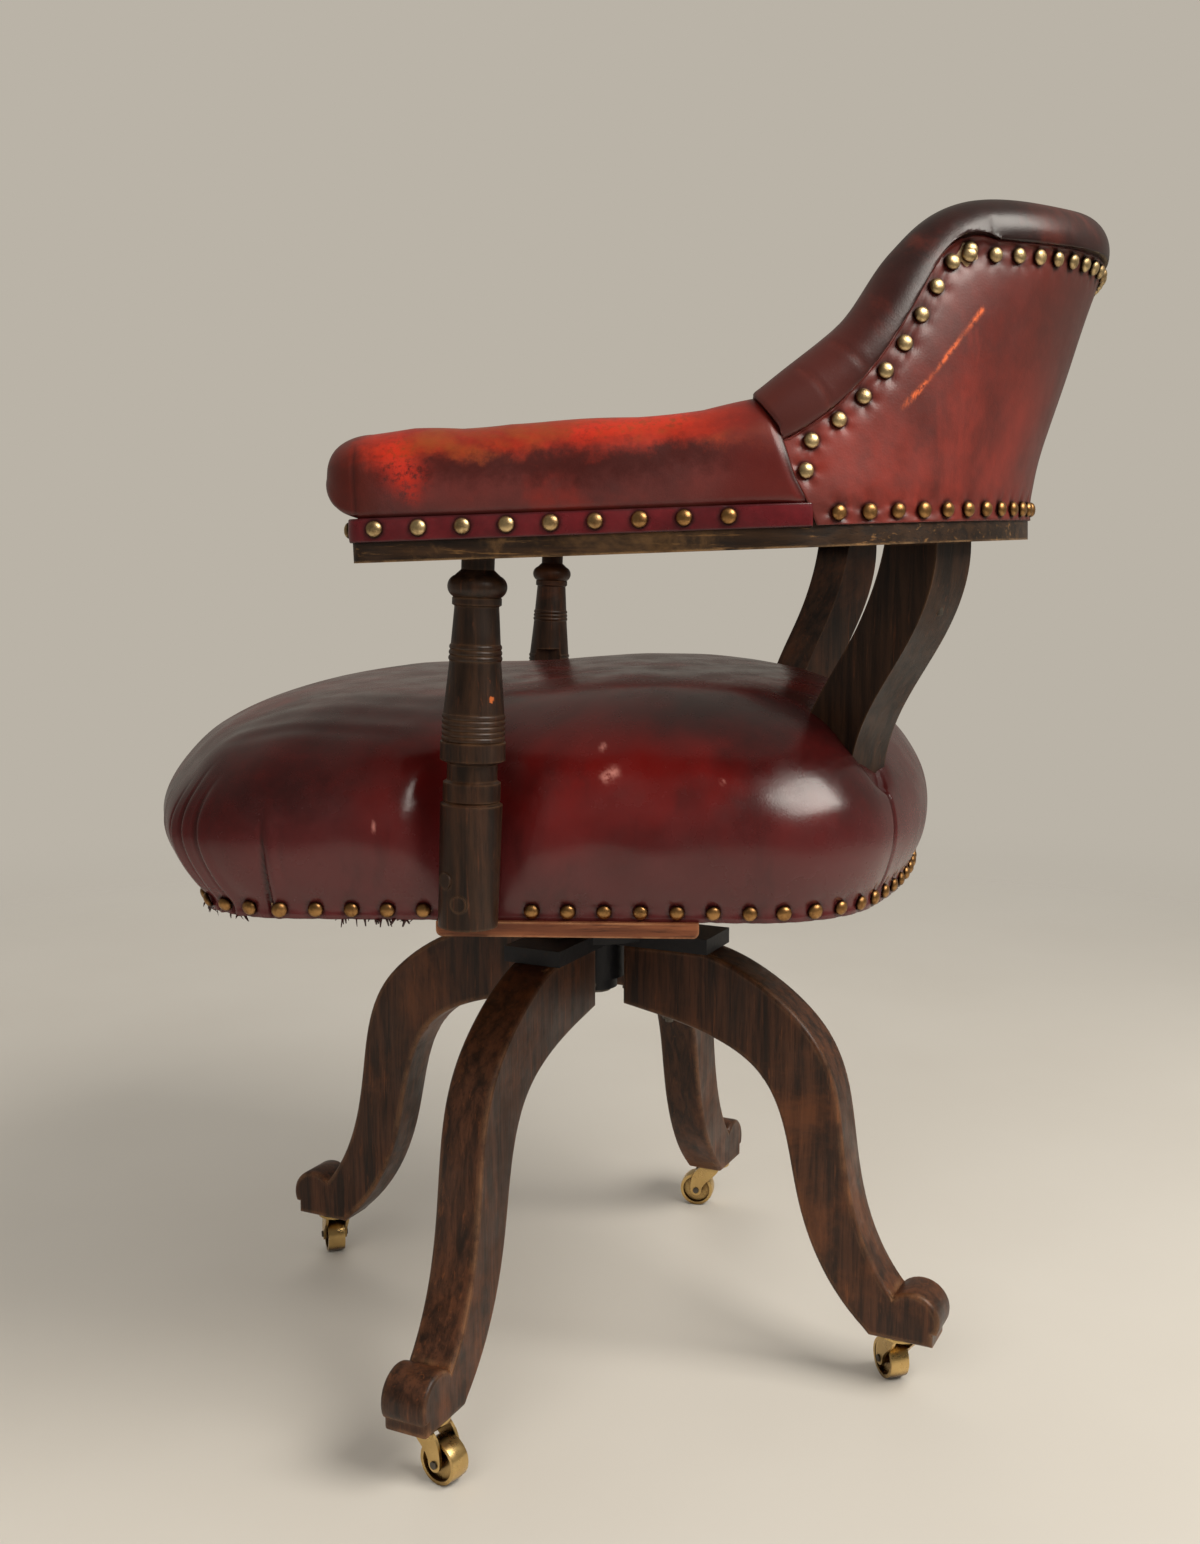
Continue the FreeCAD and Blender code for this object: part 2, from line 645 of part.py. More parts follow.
def caster_fork(name, frame, axle):
    label = "caster_fork_" + name
    eye = "fork_eye_radius"
    axle_z = "(wheel_diameter / 2)"
    arms = prism(label + "_arms", "XZ_Plane", [[
        ("-fork_front", YOKE_TOP, None),
        ("fork_back", YOKE_TOP, FORK_REAR_POLES),
        (f"fork_trail + {eye}", axle_z, f"-{eye}"),
        ("fork_trail", f"{axle_z} - {eye}", f"-{eye}"),
        (f"fork_trail - {eye}", axle_z, FORK_FRONT_POLES),
        ("-fork_front", YOKE_FOOT, None),
    ]], f"{FORK_GAP} + 2 * fork_thickness", symmetric=True)
    arms.Placement = frame
    slot = box(label + "_slot", "4 * fork_trail", FORK_GAP, YOKE_FOOT,
               frame * at(x=-2 * value("fork_trail"), y=-value(FORK_GAP) / 2))
    pin_radius = "(swivel_pin_diameter / 2)"
    head_radius = "(swivel_head_diameter / 2)"
    head_foot = f"({FOOT} + swivel_gap)"
    pin = turned(label + "_pin", [
        ("0", YOKE_FOOT, None),
        (pin_radius, YOKE_FOOT, None),
        (pin_radius, head_foot, None),
        (head_radius, head_foot, None),
        (head_radius, f"{head_foot} + swivel_head_thickness", None),
        ("0", f"{head_foot} + swivel_head_thickness", None),
    ])
    pin.Placement = frame
    bridge = cut(label + "_bridge", arms, slot)
    node(label, cut(label, fused(label + "_whole", [bridge, pin]), axle))


def casters():
    for name, azimuth, trail in CORNERS:
        frame = caster_frame(azimuth, trail)
        caster_wheel(name, frame)
        axle = caster_axle(name, frame)
        caster_fork(name, frame, axle)


# Plates and screws under the feet, shared by the leg cuts

def foot_frames():
    return [at(angle=azimuth) * at(x=value("caster_reach")) for name, azimuth, trail in CORNERS]


def plate_screw_places():
    under = value(f"{FOOT} - plate_thickness")
    circle = value("plate_screw_circle")
    return [
        frame * at(angle=120 * turn) * at(x=circle, z=under)
        for frame in foot_frames() for turn in range(3)
    ]


def caster_plates():
    one = screw(value("plate_screw_diameter"), value("plate_screw_head"),
                value("plate_screw_head_thickness"), value("plate_screw_length"))
    screws = Part.makeCompound([moved(one, place) for place in plate_screw_places()])
    thickness = value("plate_thickness")
    blank = rod(value("plate_diameter / 2"), thickness)
    hole = rod(value("swivel_pin_diameter / 2 + running_clearance"), thickness)
    under = at(z=value(FOOT) - thickness)
    plates = Part.makeCompound([moved(blank.cut(hole), frame * under) for frame in foot_frames()])
    node("caster_screws", coded("caster_screws", screws))
    node("caster_plates", coded("caster_plates", plates.cut(screws)))
    head = value("swivel_head_diameter / 2 + swivel_pocket_gap")
    depth = value("swivel_head_thickness + 2 * swivel_pocket_gap")
    pockets = [rod(head, depth, frame * at(z=value(FOOT))) for frame in foot_frames()]
    return coded("swivel_pockets", Part.makeCompound(pockets))


def leg_bolts():
    """Bolt, washer and nut of each leg. The bolt points down from the top of the iron arm."""
    top = value(f"{LEG_TOP} + arm_thickness")
    shank = value("bolt_diameter / 2")
    washer_top = value(f"{LEG_TOP} - bolt_grip")
    washer_foot = washer_top - value("washer_thickness")
    nut_foot = washer_foot - value("nut_thickness")
    stem = rod(shank, top - nut_foot + value("bolt_end"), at(z=nut_foot - value("bolt_end")))
    head = rod(value("bolt_head_diameter / 2"), value("bolt_head_thickness"), at(z=top))
    washer = rod(value("washer_radius"), washer_top - washer_foot, at(z=washer_foot)).cut(stem)
    angles = [math.radians(60 * turn) for turn in range(7)]
    hexagon = [V(math.cos(a), math.sin(a), 0) * value("nut_radius") for a in angles]
    face = Part.Face(Part.makePolygon(hexagon))
    nut = moved(face.extrude(Z_AXIS * value("nut_thickness")), at(z=nut_foot)).cut(stem)
    places = [at(angle=azimuth) * at(x=value("bolt_reach")) for name, azimuth, trail in CORNERS]
    solids = [moved(shape, place) for place in places for shape in (stem.fuse(head), washer, nut)]
    return node("leg_bolts", coded("leg_bolts", Part.makeCompound(solids)))


def leg_height(rise):
    return f"{FOOT} + {rise}" if rise > 0 else f"{LEG_TOP} - {-rise}"


def legs(bolts, pockets):
    knurl_x = "(caster_reach + knurl_ahead)"
    knurl_z = f"({FOOT} + knurl_rise)"
    outline = [
        ("leg_start", LEG_TOP, None),
        ("leg_start", f"{LEG_TOP} - leg_root_depth",
         [(reach, leg_height(rise)) for reach, rise in reversed(LEG_BELLY_POLES)]),
        ("caster_reach - heel_reach - heel_bevel", f"{FOOT} + heel_bevel", None),
        ("caster_reach - heel_reach", FOOT, None),
        ("caster_reach + toe_reach", FOOT, None),
        ("caster_reach + toe_reach", f"{FOOT} + toe_step", None),
        (f"{knurl_x} + knurl_radius * cos(25)", f"{knurl_z} - knurl_radius * sin(25)", "knurl_radius"),
        (f"{knurl_x} - knurl_radius * cos(45)", f"{knurl_z} + knurl_radius * sin(45)",
         [(reach, leg_height(rise)) for reach, rise in reversed(LEG_BACK_POLES)]),
        ("leg_shoulder", LEG_TOP, None),
    ]
    for name, azimuth, trail in CORNERS:
        label = "leg_" + name
        plank = prism(label + "_plank", "XZ_Plane", [outline], "leg_thickness", symmetric=True)
        plank.Placement = at(angle=azimuth)
        node(label, cut(label, plank, bolts, NODES["caster_screws"], pockets))


def spider(bolts):
    bore = "(spindle_diameter / 2 + spindle_clearance)"
    disc_foot = f"({LEG_TOP} + disc_rise)"
    hub = turned("spider_hub", [
        (bore, HUB_FOOT, None),
        ("hub_radius", HUB_FOOT, None),
        ("hub_radius", disc_foot, None),
        ("disc_radius", disc_foot, None),
        ("disc_radius", HUB_TOP, None),
        (bore, HUB_TOP, None),
    ])
    start = value("hub_radius - arm_root")
    arms = [
        box("spider_arm_%d" % turn, f"arm_reach - {start}", "arm_width", "arm_thickness",
            at(angle=azimuth) * at(x=start, y=-value("arm_width") / 2, z=value(LEG_TOP)))
        for turn, (name, azimuth, trail) in enumerate(CORNERS)
    ]
    node("spider", cut("spider", fused("spider_casting", [hub] + arms), bolts))


def spindle_parts():
    radius = "(spindle_diameter / 2)"
    collar_top = f"({HUB_FOOT} - collar_gap)"
    collar_foot = f"({collar_top} - collar_height)"
    bottom = f"({collar_foot} - spindle_end)"
    flange_top = f"({FLANGE_FOOT} + flange_thickness)"
    pin_length = value("2 * collar_radius")
    pin_height = value(f"{collar_foot} + collar_height / 2")
    pin_frame = at(x=-pin_length / 2, z=pin_height, axis=V(0, 1, 0), angle=90)
    pin = coded("collar_pin", rod(value("collar_pin_diameter / 2"), pin_length, pin_frame))
    node("collar_pin", pin)
    blank = turned("spindle_blank", [
        ("0", bottom, None),
        (radius, bottom, None),
        (radius, FLANGE_FOOT, None),
        ("flange_radius", FLANGE_FOOT, None),
        ("flange_radius", flange_top, None),
        ("neck_radius", flange_top, None),
        ("neck_radius", SEAT_IRON_FOOT, None),
        (radius, SEAT_IRON_FOOT, None),
        (radius, BOARD_FOOT, None),
        ("0", BOARD_FOOT, None),
    ])
    spindle = node("spindle", cut("spindle", blank, pin))
    ring = turned("retaining_collar_blank", [
        (radius, collar_foot, None),
        ("collar_radius", collar_foot, None),
        ("collar_radius", collar_top, None),
        (radius, collar_top, None),
    ])
    node("retaining_collar", cut("retaining_collar", ring, pin))
    washer_top = f"({HUB_TOP} + thrust_thickness)"
    node("thrust_washer", turned("thrust_washer", [
        (f"{radius} + thrust_play", HUB_TOP, None),
        ("flange_radius", HUB_TOP, None),
        ("flange_radius", washer_top, None),
        (f"{radius} + thrust_play", washer_top, None),
    ]))
    return spindle


def seat_iron_and_board(spindle):
    bars_foot = f"({SEAT_IRON_FOOT} + seat_iron_boss_height)"
    boss = turned("seat_iron_boss", [
        ("0", SEAT_IRON_FOOT, None),
        ("seat_iron_boss_radius", SEAT_IRON_FOOT, None),
        ("seat_iron_boss_radius", bars_foot, None),
        ("0", bars_foot, None),
    ])
    half = value("seat_iron_width / 2")
    side = value("seat_iron_side_reach")
    front = value("seat_iron_front_reach")
    across = box("seat_iron_bar_across", "2 * seat_iron_side_reach", "seat_iron_width",
                 "seat_iron_thickness", at(x=-side, y=-half, z=value(bars_foot)))
    along = box("seat_iron_bar_along", "seat_iron_width", "2 * seat_iron_front_reach",
                "seat_iron_thickness", at(x=-half, y=-front, z=value(bars_foot)))
    one = screw(value("iron_screw_diameter"), value("iron_screw_head"), value("iron_screw_head_thickness"),
                value("seat_iron_thickness + board_thickness - iron_screw_cover"))
    places = [
        at(x=side * a * turn, y=front * b * turn, z=value(bars_foot))
        for a, b in SEAT_IRON_SCREWS for turn in (1, -1)
    ]
    screws = Part.makeCompound([moved(one, place) for place in places])
    screws = node("seat_iron_screws", coded("seat_iron_screws", screws))
    casting = fused("seat_iron_casting", [boss, across, along])
    node("seat_iron", cut("seat_iron", casting, spindle, screws))
    top = FRAME_FOOT
    inner_front = "(board_front + board_edge_radius)"
    inner_rear = "(board_rear - board_edge_radius)"
    low = f"({BOARD_FOOT} + board_edge_radius)"
    board = prism("seat_board_blank", "YZ_Plane", [[
        (inner_front, BOARD_FOOT, None),
        (inner_rear, BOARD_FOOT, "board_edge_radius"),
        ("board_rear", low, None),
        ("board_rear", top, None),
        ("board_front", top, None),
        ("board_front", low, "board_edge_radius"),
    ]], "2 * (seat_half_width + board_overhang)", symmetric=True)
    board_screw = screw(value("board_screw_diameter"), value("board_screw_head"),
                        value("board_screw_head_thickness"), value("board_screw_length"))
    edge = value("seat_half_width - frame_width / 2")
    rows = [value("board_front + board_screw_inset"), value("board_rear - board_screw_inset")]
    board_places = [at(x=edge * turn, y=y, z=value(BOARD_FOOT)) for turn in (1, -1) for y in rows]
    board_screws = Part.makeCompound([moved(board_screw, place) for place in board_places])
    board_screws = node("board_screws", coded("board_screws", board_screws))
    node("seat_board", cut("seat_board", board, screws, board_screws))
    return board_screws


# Seat outline: sides, tangent corner arcs and bowed front and rear, at an inset from the frame's outside

def corner_centre(bow, corner, half, bow_centre, sign):
    return f"({bow_centre} {sign} sqrt(({bow} - {corner})^2 - ({half} - {corner})^2))"


def tangent_point(bow, corner, half, bow_centre, corner_y, inset):
    scale = f"(({bow} - {inset}) / ({bow} - {corner}))"
    return f"(({half} - {corner}) * {scale})", f"({bow_centre} + ({corner_y} - {bow_centre}) * {scale})"


def seat_outline(inset):
    half = f"(seat_half_width - {inset})"
    rear_centre = "(seat_rear - seat_rear_bow)"
    front_centre = "(seat_front + seat_front_bow)"
    rear_y = corner_centre("seat_rear_bow", "seat_rear_corner", "seat_half_width", rear_centre, "+")
    front_y = corner_centre("seat_front_bow", "seat_front_corner", "seat_half_width", front_centre, "-")
    rear = tangent_point("seat_rear_bow", "seat_rear_corner", "seat_half_width", rear_centre, rear_y, inset)
    front = tangent_point("seat_front_bow", "seat_front_corner", "seat_half_width", front_centre, front_y,
                          inset)
    rear_corner = f"(seat_rear_corner - {inset})"
    front_corner = f"(seat_front_corner - {inset})"
    return [
        (half, rear_y, rear_corner),
        (rear[0], rear[1], f"(seat_rear_bow - {inset})"),
        ("-" + rear[0], rear[1], rear_corner),
        ("-" + half, rear_y, None),
        ("-" + half, front_y, front_corner),
        ("-" + front[0], front[1], f"(seat_front_bow - {inset})"),
        (front[0], front[1], front_corner),
        (half, front_y, None),
    ]


# Uprights stand in planes at 45 degrees through their outer top corners

def upright_frame(side):
    return at(x=side * value(UPRIGHT_X), y=value(UPRIGHT_Y), angle=-90 - side * 45)


def upright_height(rise):
    return f"{FRAME_FOOT} + {rise}"


def uprights(above_bow, screws):
    outline = [
        ("0", UPRIGHT_TOP, None),
        ("upright_top_width", UPRIGHT_TOP,
         [(inward, upright_height(rise)) for inward, rise in UPRIGHT_INNER_POLES]),
        ("upright_foot_in", upright_height(UPRIGHT_BEND), None),
        ("upright_foot_in", FRAME_FOOT, None),
        ("upright_foot_out", FRAME_FOOT, None),
        ("upright_foot_out", upright_height(UPRIGHT_BEND),
         [(inward, upright_height(rise)) for inward, rise in UPRIGHT_OUTER_POLES]),
    ]
    for side, name in ((1, "left"), (-1, "right")):
        label = "upright_" + name
        plank = prism(label + "_plank", "XZ_Plane", [outline], "upright_thickness", symmetric=True)
        plank.Placement = upright_frame(side)
        node(label, cut(label, plank, above_bow, screws))


def upright_plane(offset):
    """Where the plane of the left upright, moved outwards by offset, meets the Y axis."""
    return f"(({UPRIGHT_Y} - {UPRIGHT_X}) - ({offset}) * sqrt(2))"


def seat_frame(screws):
    ring = prism("seat_ring", "XY_Plane", [seat_outline("0"), seat_outline("frame_width")], "frame_height")
    ring.Placement = at(z=value(FRAME_FOOT))
    far = "(2 * seat_half_width)"
    outer_side = upright_plane("upright_thickness / 2")
    inner_side = upright_plane("-upright_thickness / 2")
    joint = "frame_front_joint"
    regions = {
        "seat_rail_front": [
            ("-" + far, "-" + far, None),
            (far, "-" + far, None),
            (far, joint, None),
            ("-" + far, joint, None),
        ],
        "seat_rail_left": [
            ("1", joint, None),
            (far, joint, None),
            (far, f"{far} + {outer_side}", None),
            ("1", f"1 + {outer_side}", None),
        ],
        "seat_rail_right": [
            ("-1", joint, None),
            ("-1", f"1 + {outer_side}", None),
            ("-" + far, f"{far} + {outer_side}", None),
            ("-" + far, joint, None),
        ],
        "seat_rail_back": [
            ("1", f"1 + {inner_side}", None),
            (far, f"{far} + {inner_side}", None),
            ("-" + far, f"{far} + {inner_side}", None),
            ("-1", f"1 + {inner_side}", None),
        ],
    }
    for label, corners in regions.items():
        region = prism(label + "_region", "XY_Plane", [corners], "frame_height")
        region.Placement = at(z=value(FRAME_FOOT))
        blank = boolean("Common", label + "_blank", ring, region)
        node(label, cut(label, blank, *screws))


def seat_webbing():
    """Straps along and across, clear of the frame's inside, woven into one net."""
    inside = wire(seat_outline("frame_width"), at(z=value(FRAME_FOOT)))
    field = Part.Face(inside).extrude(Z_AXIS * value("webbing_thickness"))
    reach = value("2 * seat_half_width")
    width = value("webbing_width")
    pitch = value("webbing_pitch")
    thickness = value("webbing_thickness")
    middle = value("cushion_centre")
    base = value(FRAME_FOOT)
    straps = []
    for turn in (-1, 0, 1):
        x = pitch * turn - width / 2
        y = middle + pitch * turn - width / 2
        straps.append(Part.makeBox(width, 2 * reach, thickness, V(x, -reach, base)))
        straps.append(Part.makeBox(2 * reach, width, thickness, V(-reach, y, base)))
    net = straps[0].multiFuse(straps[1:])
    node("seat_webbing", coded("seat_webbing", net.common(field)))


def seat_springs():
    wire_radius = value("spring_wire / 2")
    radius = value("spring_radius")
    foot = value(f"{FRAME_FOOT} + webbing_thickness") + wire_radius
    height = value("frame_height - webbing_thickness") - 2 * wire_radius
    pitch = value("spring_pitch")
    sections = []
    for step in range(round(SPRING_STEPS * height / pitch) + 1):
        angle = 2 * math.pi * step / SPRING_STEPS
        outward = V(math.cos(angle), math.sin(angle), 0)
        along = V(-outward.y * radius, outward.x * radius, pitch / (2 * math.pi)).normalize()
        circle = Part.Wire(Part.makeCircle(wire_radius))
        turn = FreeCAD.Rotation(outward, V(), along, "ZXY")
        circle.Placement = FreeCAD.Placement(outward * radius + Z_AXIS * pitch * step / SPRING_STEPS, turn)
        sections.append(circle)
    coil = loft(sections)
    spacing = value("spring_spacing")
    middle = value("cushion_centre")
    spots = [(0, 0), (1, 1), (1, -1), (-1, 1), (-1, -1)]
    coils = [moved(coil, at(x=spacing * a, y=middle + spacing * b, z=foot)) for a, b in spots]
    node("seat_springs", coded("seat_springs", Part.makeCompound(coils)))


def loft(sections):
    return Part.makeLoft(sections, True, True)


def cushion_solid(skin):
    """Body of the cushion inside a hide of the given thickness."""
    base = wire(seat_outline("0"))
    half = value("seat_half_width")
    middle = value("cushion_centre")
    foot = value(FRAME_FOOT)
    rows = CUSHION + [(value("cushion_height"), CUSHION_CROWN_SWELL, 0)]
    top = rows[-1][0]
    sections = []
    for rise, swell, forward in rows:
        share = (half + swell - skin) / half
        matrix = FreeCAD.Matrix()
        matrix.scale(share, share, 1)
        section = base.copy()
        section.translate(V(0, -middle, 0))
        section = section.transformGeometry(matrix)
        section.translate(V(0, middle - forward, foot + rise * (1 - skin / top)))
        sections.append(section)
    return loft(sections)


def post_hollow(side, post_frame):
    """Room that a post takes out of the cushion."""
    height = value(POST_HEIGHT)
    trunk = rod(value("post_ring_radius + post_gap"), height, post_frame)
    face = value(POST_FACE)
    reach = value("2 * post_ring_radius")
    start = face if side > 0 else -face - 2 * reach
    keep = Part.makeBox(2 * reach, 4 * reach, height + 2 * TRIM,
                        V(start, value("post_foot_y") - 2 * reach, value(FRAME_FOOT) - TRIM))
    return trunk.common(keep)


def seat_cushion(frames, openings):
    hide = value("leather_thickness")
    outer = cushion_solid(0)
    inner = cushion_solid(hide)
    frame_block = Part.Face(wire(seat_outline("0"), at(z=value(FRAME_FOOT)))).extrude(
        Z_AXIS * value("frame_height"))
    hollows = openings + [post_hollow(side, frames[side]) for side in (1, -1)]
    leather = outer.cut(inner)
    for hollow in hollows:
        leather = leather.cut(hollow)
    start = value(FRAME_FOOT) + CUSHION[2][0]
    reach = value("3 * seat_half_width")
    above = Part.makeBox(2 * reach, 2 * reach, value("2 * cushion_height"), V(-reach, -reach, start))
    stuffing = inner.common(above).cut(frame_block)
    for hollow in hollows:
        stuffing = stuffing.cut(hollow)
    node("seat_leather", coded("seat_leather", leather))
    node("seat_stuffing", coded("seat_stuffing", stuffing))
    return leather


# Turned posts

def post_frame(side):
    return at(x=side * value(POST_SIDE), y=value("post_foot_y"), z=value(FRAME_FOOT),
              axis=X_AXIS, angle=-value("post_lean"))


def post_fasteners():
    """Screws through each post into the side rail, and the plugs over their heads."""
    one = screw(value("post_screw_diameter"), value("post_screw_head"),
                value("post_screw_head_thickness"), value("post_screw_length"))
    depth = value("plug_depth")
    plug = rod(value("plug_diameter / 2"), depth)
    surface = value("post_radius + plug_proud")
    screws = []
    plugs = []
    for side in (1, -1):
        for rise, turn in (("plug_high", "plug_high_turn"), ("plug_low", "plug_low_turn")):
            angle = math.radians(value(turn))
            outward = V(side * math.cos(angle), math.sin(angle), 0)
            axis = post_frame(side).multVec(V(0, 0, value(rise)))
            plugs.append(moved(plug, towards(axis + outward * surface, outward * -1)))
            screws.append(moved(one, towards(axis + outward * (surface - depth), outward * -1)))
    plugs = node("post_plugs", coded("post_plugs", Part.makeCompound(plugs)))
    screws = node("post_screws", coded("post_screws", Part.makeCompound(screws)))
    return screws, plugs


def posts(above_bow, screws, plugs):
    top = POST_HEIGHT
    corners = [("0", "0", None), ("post_foot_radius", "0", None)]
    for drop, radius, bulge in POST_TURNINGS:
        corners.append((str(radius), f"{top} - {drop}", BULGES.get(bulge)))
    corners.append((str(POST_TURNINGS[-1][1]), top, None))
    corners.append(("0", top, None))
    face = value(POST_FACE)
    reach = value("2 * post_radius")
    for side, name in ((1, "left"), (-1, "right")):
        label = "post_" + name
        turning = turned(label + "_turning", corners)
        turning.Placement = post_frame(side)
        start = face - reach if side > 0 else -face
        flat = box(label + "_flat", "2 * post_radius", "4 * post_radius", "cushion_height",
                   at(x=start, y=value("post_foot_y") - reach, z=value(FRAME_FOOT) - TRIM))
        under = box(label + "_under", "8 * post_radius", "8 * post_radius", str(TRIM),
                    at(x=side * value(POST_SIDE) - 2 * reach, y=value("post_foot_y") - 2 * reach,
                       z=value(FRAME_FOOT) - TRIM))
        node(label, cut(label, turning, above_bow, under, flat, screws, plugs))


# Outline of the arm bow and of the back above it, set out in the bow's own tilted frame

def blend(low, high, share):
    return f"({low} * (1 - {share}) + {high} * {share})"


def bow_shape(share, inset):
    """Sizes of the bow's curve: share is 0 at the boards and 1 at the top edge of the back."""
    half = blend(BOW_HALF, BACK_HALF, share)
    rear = blend(BOW_REAR, BACK_REAR, share)
    corner = blend("bow_corner", "back_corner", share)
    bow = blend("bow_curve", "back_curve", share)
    centre = f"({rear} - {bow})"
    corner_y = corner_centre(bow, corner, half, centre, "+")
    tangent = tangent_point(bow, corner, half, centre, corner_y, inset)
    return f"({half} - {inset})", corner_y, tangent, f"({corner} - {inset})", f"({bow} - {inset})"


def flare_share(level):
    """How far the back has come from the bow's outline to its top outline at a level."""
    span = value("back_edge_rise - bow_thickness")
    return max(0.0, (level - value("bow_thickness")) / span) ** value("back_flare")


def horseshoe(inset):
    """Solid inside the back's outline at an inset, from the band's lower edge to above the top edge."""
    front = "0"
    sections = []
    for level in BACK_LEVELS:
        half, corner_y, tangent, corner, bow = bow_shape(repr(flare_share(level)), inset)
        sections.append(wire([
            (half, front, None),
            (half, corner_y, corner),
            (tangent[0], tangent[1], bow),
            ("-" + tangent[0], tangent[1], corner),
            ("-" + half, corner_y, None),
            ("-" + half, front, None),
        ], at(z=level)))
    return loft(sections)


def side_prism(corners):
    """Region given by a side view (along, height), as wide as the whole chair."""
    reach = value(f"2 * {BOW_HALF}")
    side_view = FreeCAD.Rotation(V(0, 1, 0), V(0, 0, 1), V(1, 0, 0), "XYZ")
    outline = wire(corners, FreeCAD.Placement(V(-reach, 0, 0), side_view))
    return Part.Face(outline).extrude(V(2 * reach, 0, 0))


def edge_point(point):
    """Place along the chair and height of a point of the panel edge."""
    ahead, rise = point
    return f"{BOW_REAR} - {ahead}", str(rise)


def seam_at(rise):
    """Place along the chair of the slanted seam between arm and back at a height."""
    share = f"((({rise}) - bow_thickness) / (seam_top_rise - bow_thickness))"
    return f"(seam_foot_y + (seam_top_y - seam_foot_y) * {share})"


def behind_seam(low, panel_edge):
    """Side view behind the seam, up to the panel edge or to above the roll."""
    far = f"(2 * {BACK_REAR})"
    foot = (seam_at(low), low, None)
    if not panel_edge:
        high = "(2 * back_edge_rise)"
        return [foot, (far, low, None), (far, high, None), (seam_at(high), high, None)]
    end = edge_point(EDGE_END)
    start_rise = str(EDGE_START[1])
    return [
        foot,
        (far, low, None),
        (far, f"{end[1]} - {EDGE_FALL}", None),
        (end[0], end[1], [edge_point(pole) for pole in reversed(EDGE_POLES)]),
        (seam_at(start_rise), start_rise, None),
    ]


def bow_boards(dowels, screws):
    half, corner_y, tangent, corner, bow = bow_shape("0", "0")
    in_half, in_y, in_tangent, in_corner, in_bow = bow_shape("0", "bow_width")
    round_front = "bow_front_corner"
    for side, name in ((1, "left"), (-1, "right")):
        label = "arm_rail_" + name
        low_x, high_x = (in_half, half) if side > 0 else ("-" + half, "-" + in_half)
        board = prism(label + "_board", "XY_Plane", [[
            (f"({low_x} + {round_front})", "bow_front", None),
            (f"({high_x} - {round_front})", "bow_front", round_front),
            (high_x, f"bow_front + {round_front}", None),
            (high_x, corner_y, None),
            (low_x, corner_y, None),
            (low_x, f"bow_front + {round_front}", round_front),
        ]], "bow_thickness")
        board.Placement = BOW_FRAME
        node(label, cut(label, board, dowels))
    board = prism("back_rail_board", "XY_Plane", [[
        (half, corner_y, corner),
        (tangent[0], tangent[1], bow),
        ("-" + tangent[0], tangent[1], corner),
        ("-" + half, corner_y, None),
        ("-" + in_half, in_y, "-" + in_corner),
        ("-" + in_tangent[0], in_tangent[1], "-" + in_bow),
        (in_tangent[0], in_tangent[1], "-" + in_corner),
        (in_half, in_y, None),
    ]], "bow_thickness")
    board.Placement = BOW_FRAME
    node("back_rail", cut("back_rail", board, dowels, screws))


def bow_dowels():
    """Two dowels in each joint of the bow, along the chair."""
    half, corner_y, tangent, corner, bow = bow_shape("0", "0")
    middle = value(f"{BOW_HALF} - bow_width / 2")
    length = value("dowel_length")
    rods = []
    for side in (1, -1):
        for turn in (1, -1):
            x = side * middle + turn * value("dowel_spacing") / 2
            start = at(x=x, y=value(corner_y) + length / 2, z=value("bow_thickness / 2"), axis=X_AXIS,
                       angle=90)
            rods.append(rod(value("dowel_diameter / 2"), length, BOW_FRAME * start))
    return node("bow_dowels", coded("bow_dowels", Part.makeCompound(rods)))


def upright_fasteners():
    """Screws down through the back rail into the uprights."""
    one = screw(value("upright_screw_diameter"), value("upright_screw_head"),
                value("upright_screw_head_thickness"), value("upright_screw_length"))
    screws = []
    into_bow = BOW_FRAME.inverse()
    for side in (1, -1):
        for turn in (1, -1):
            inward = value("upright_top_width / 2") + turn * value("upright_screw_spacing") / 2
            spot = upright_frame(side).multVec(V(inward, 0, value(BOW_HEIGHT)))
            flat = into_bow.multVec(spot)
            place = BOW_FRAME * at(x=flat.x, y=flat.y, z=value("bow_thickness"), axis=X_AXIS, angle=180)
            screws.append(moved(one, place))
    return node("upright_screws", coded("upright_screws", Part.makeCompound(screws)))


def arm_pads():
    shoulder = "(pad_half_width - pad_shoulder_inset)"
    crown_start = "(pad_shoulder + pad_shoulder_height)"
    side_view = [
        (f"nose_centre - nose_radius * {NOSE_FOOT}", "bow_thickness", None),
        ("seam_foot_y", "bow_thickness", None),
        ("seam_top_y", "seam_top_rise", None),
        ("seam_top_y - pad_climb", "pad_top", None),
        ("nose_centre", "pad_top",
         [(f"nose_centre - nose_radius * {share}", rise) for share, rise in NOSE_POLES]),
    ]
    for side, name in ((1, "left"), (-1, "right")):
        label = "arm_pad_" + name
        middle = side * value(f"{BOW_HALF} - bow_width / 2")
        section = prism(label + "_section", "XZ_Plane", [[
            ("-pad_half_width", "bow_thickness", None),
            ("pad_half_width", "bow_thickness", "pad_side_radius"),
            (shoulder, "pad_shoulder", None),
            (shoulder, crown_start, "pad_top_radius"),
            ("-" + shoulder, crown_start, None),
            ("-" + shoulder, "pad_shoulder", "pad_side_radius"),
        ]], f"4 * {BOW_HALF}", symmetric=True)
        section.Placement = BOW_FRAME * at(x=middle)
        view = prism(label + "_view", "YZ_Plane", [side_view], "2 * bow_width", symmetric=True)
        view.Placement = BOW_FRAME * at(x=middle)
        node(label, boolean("Common", label, section, view))


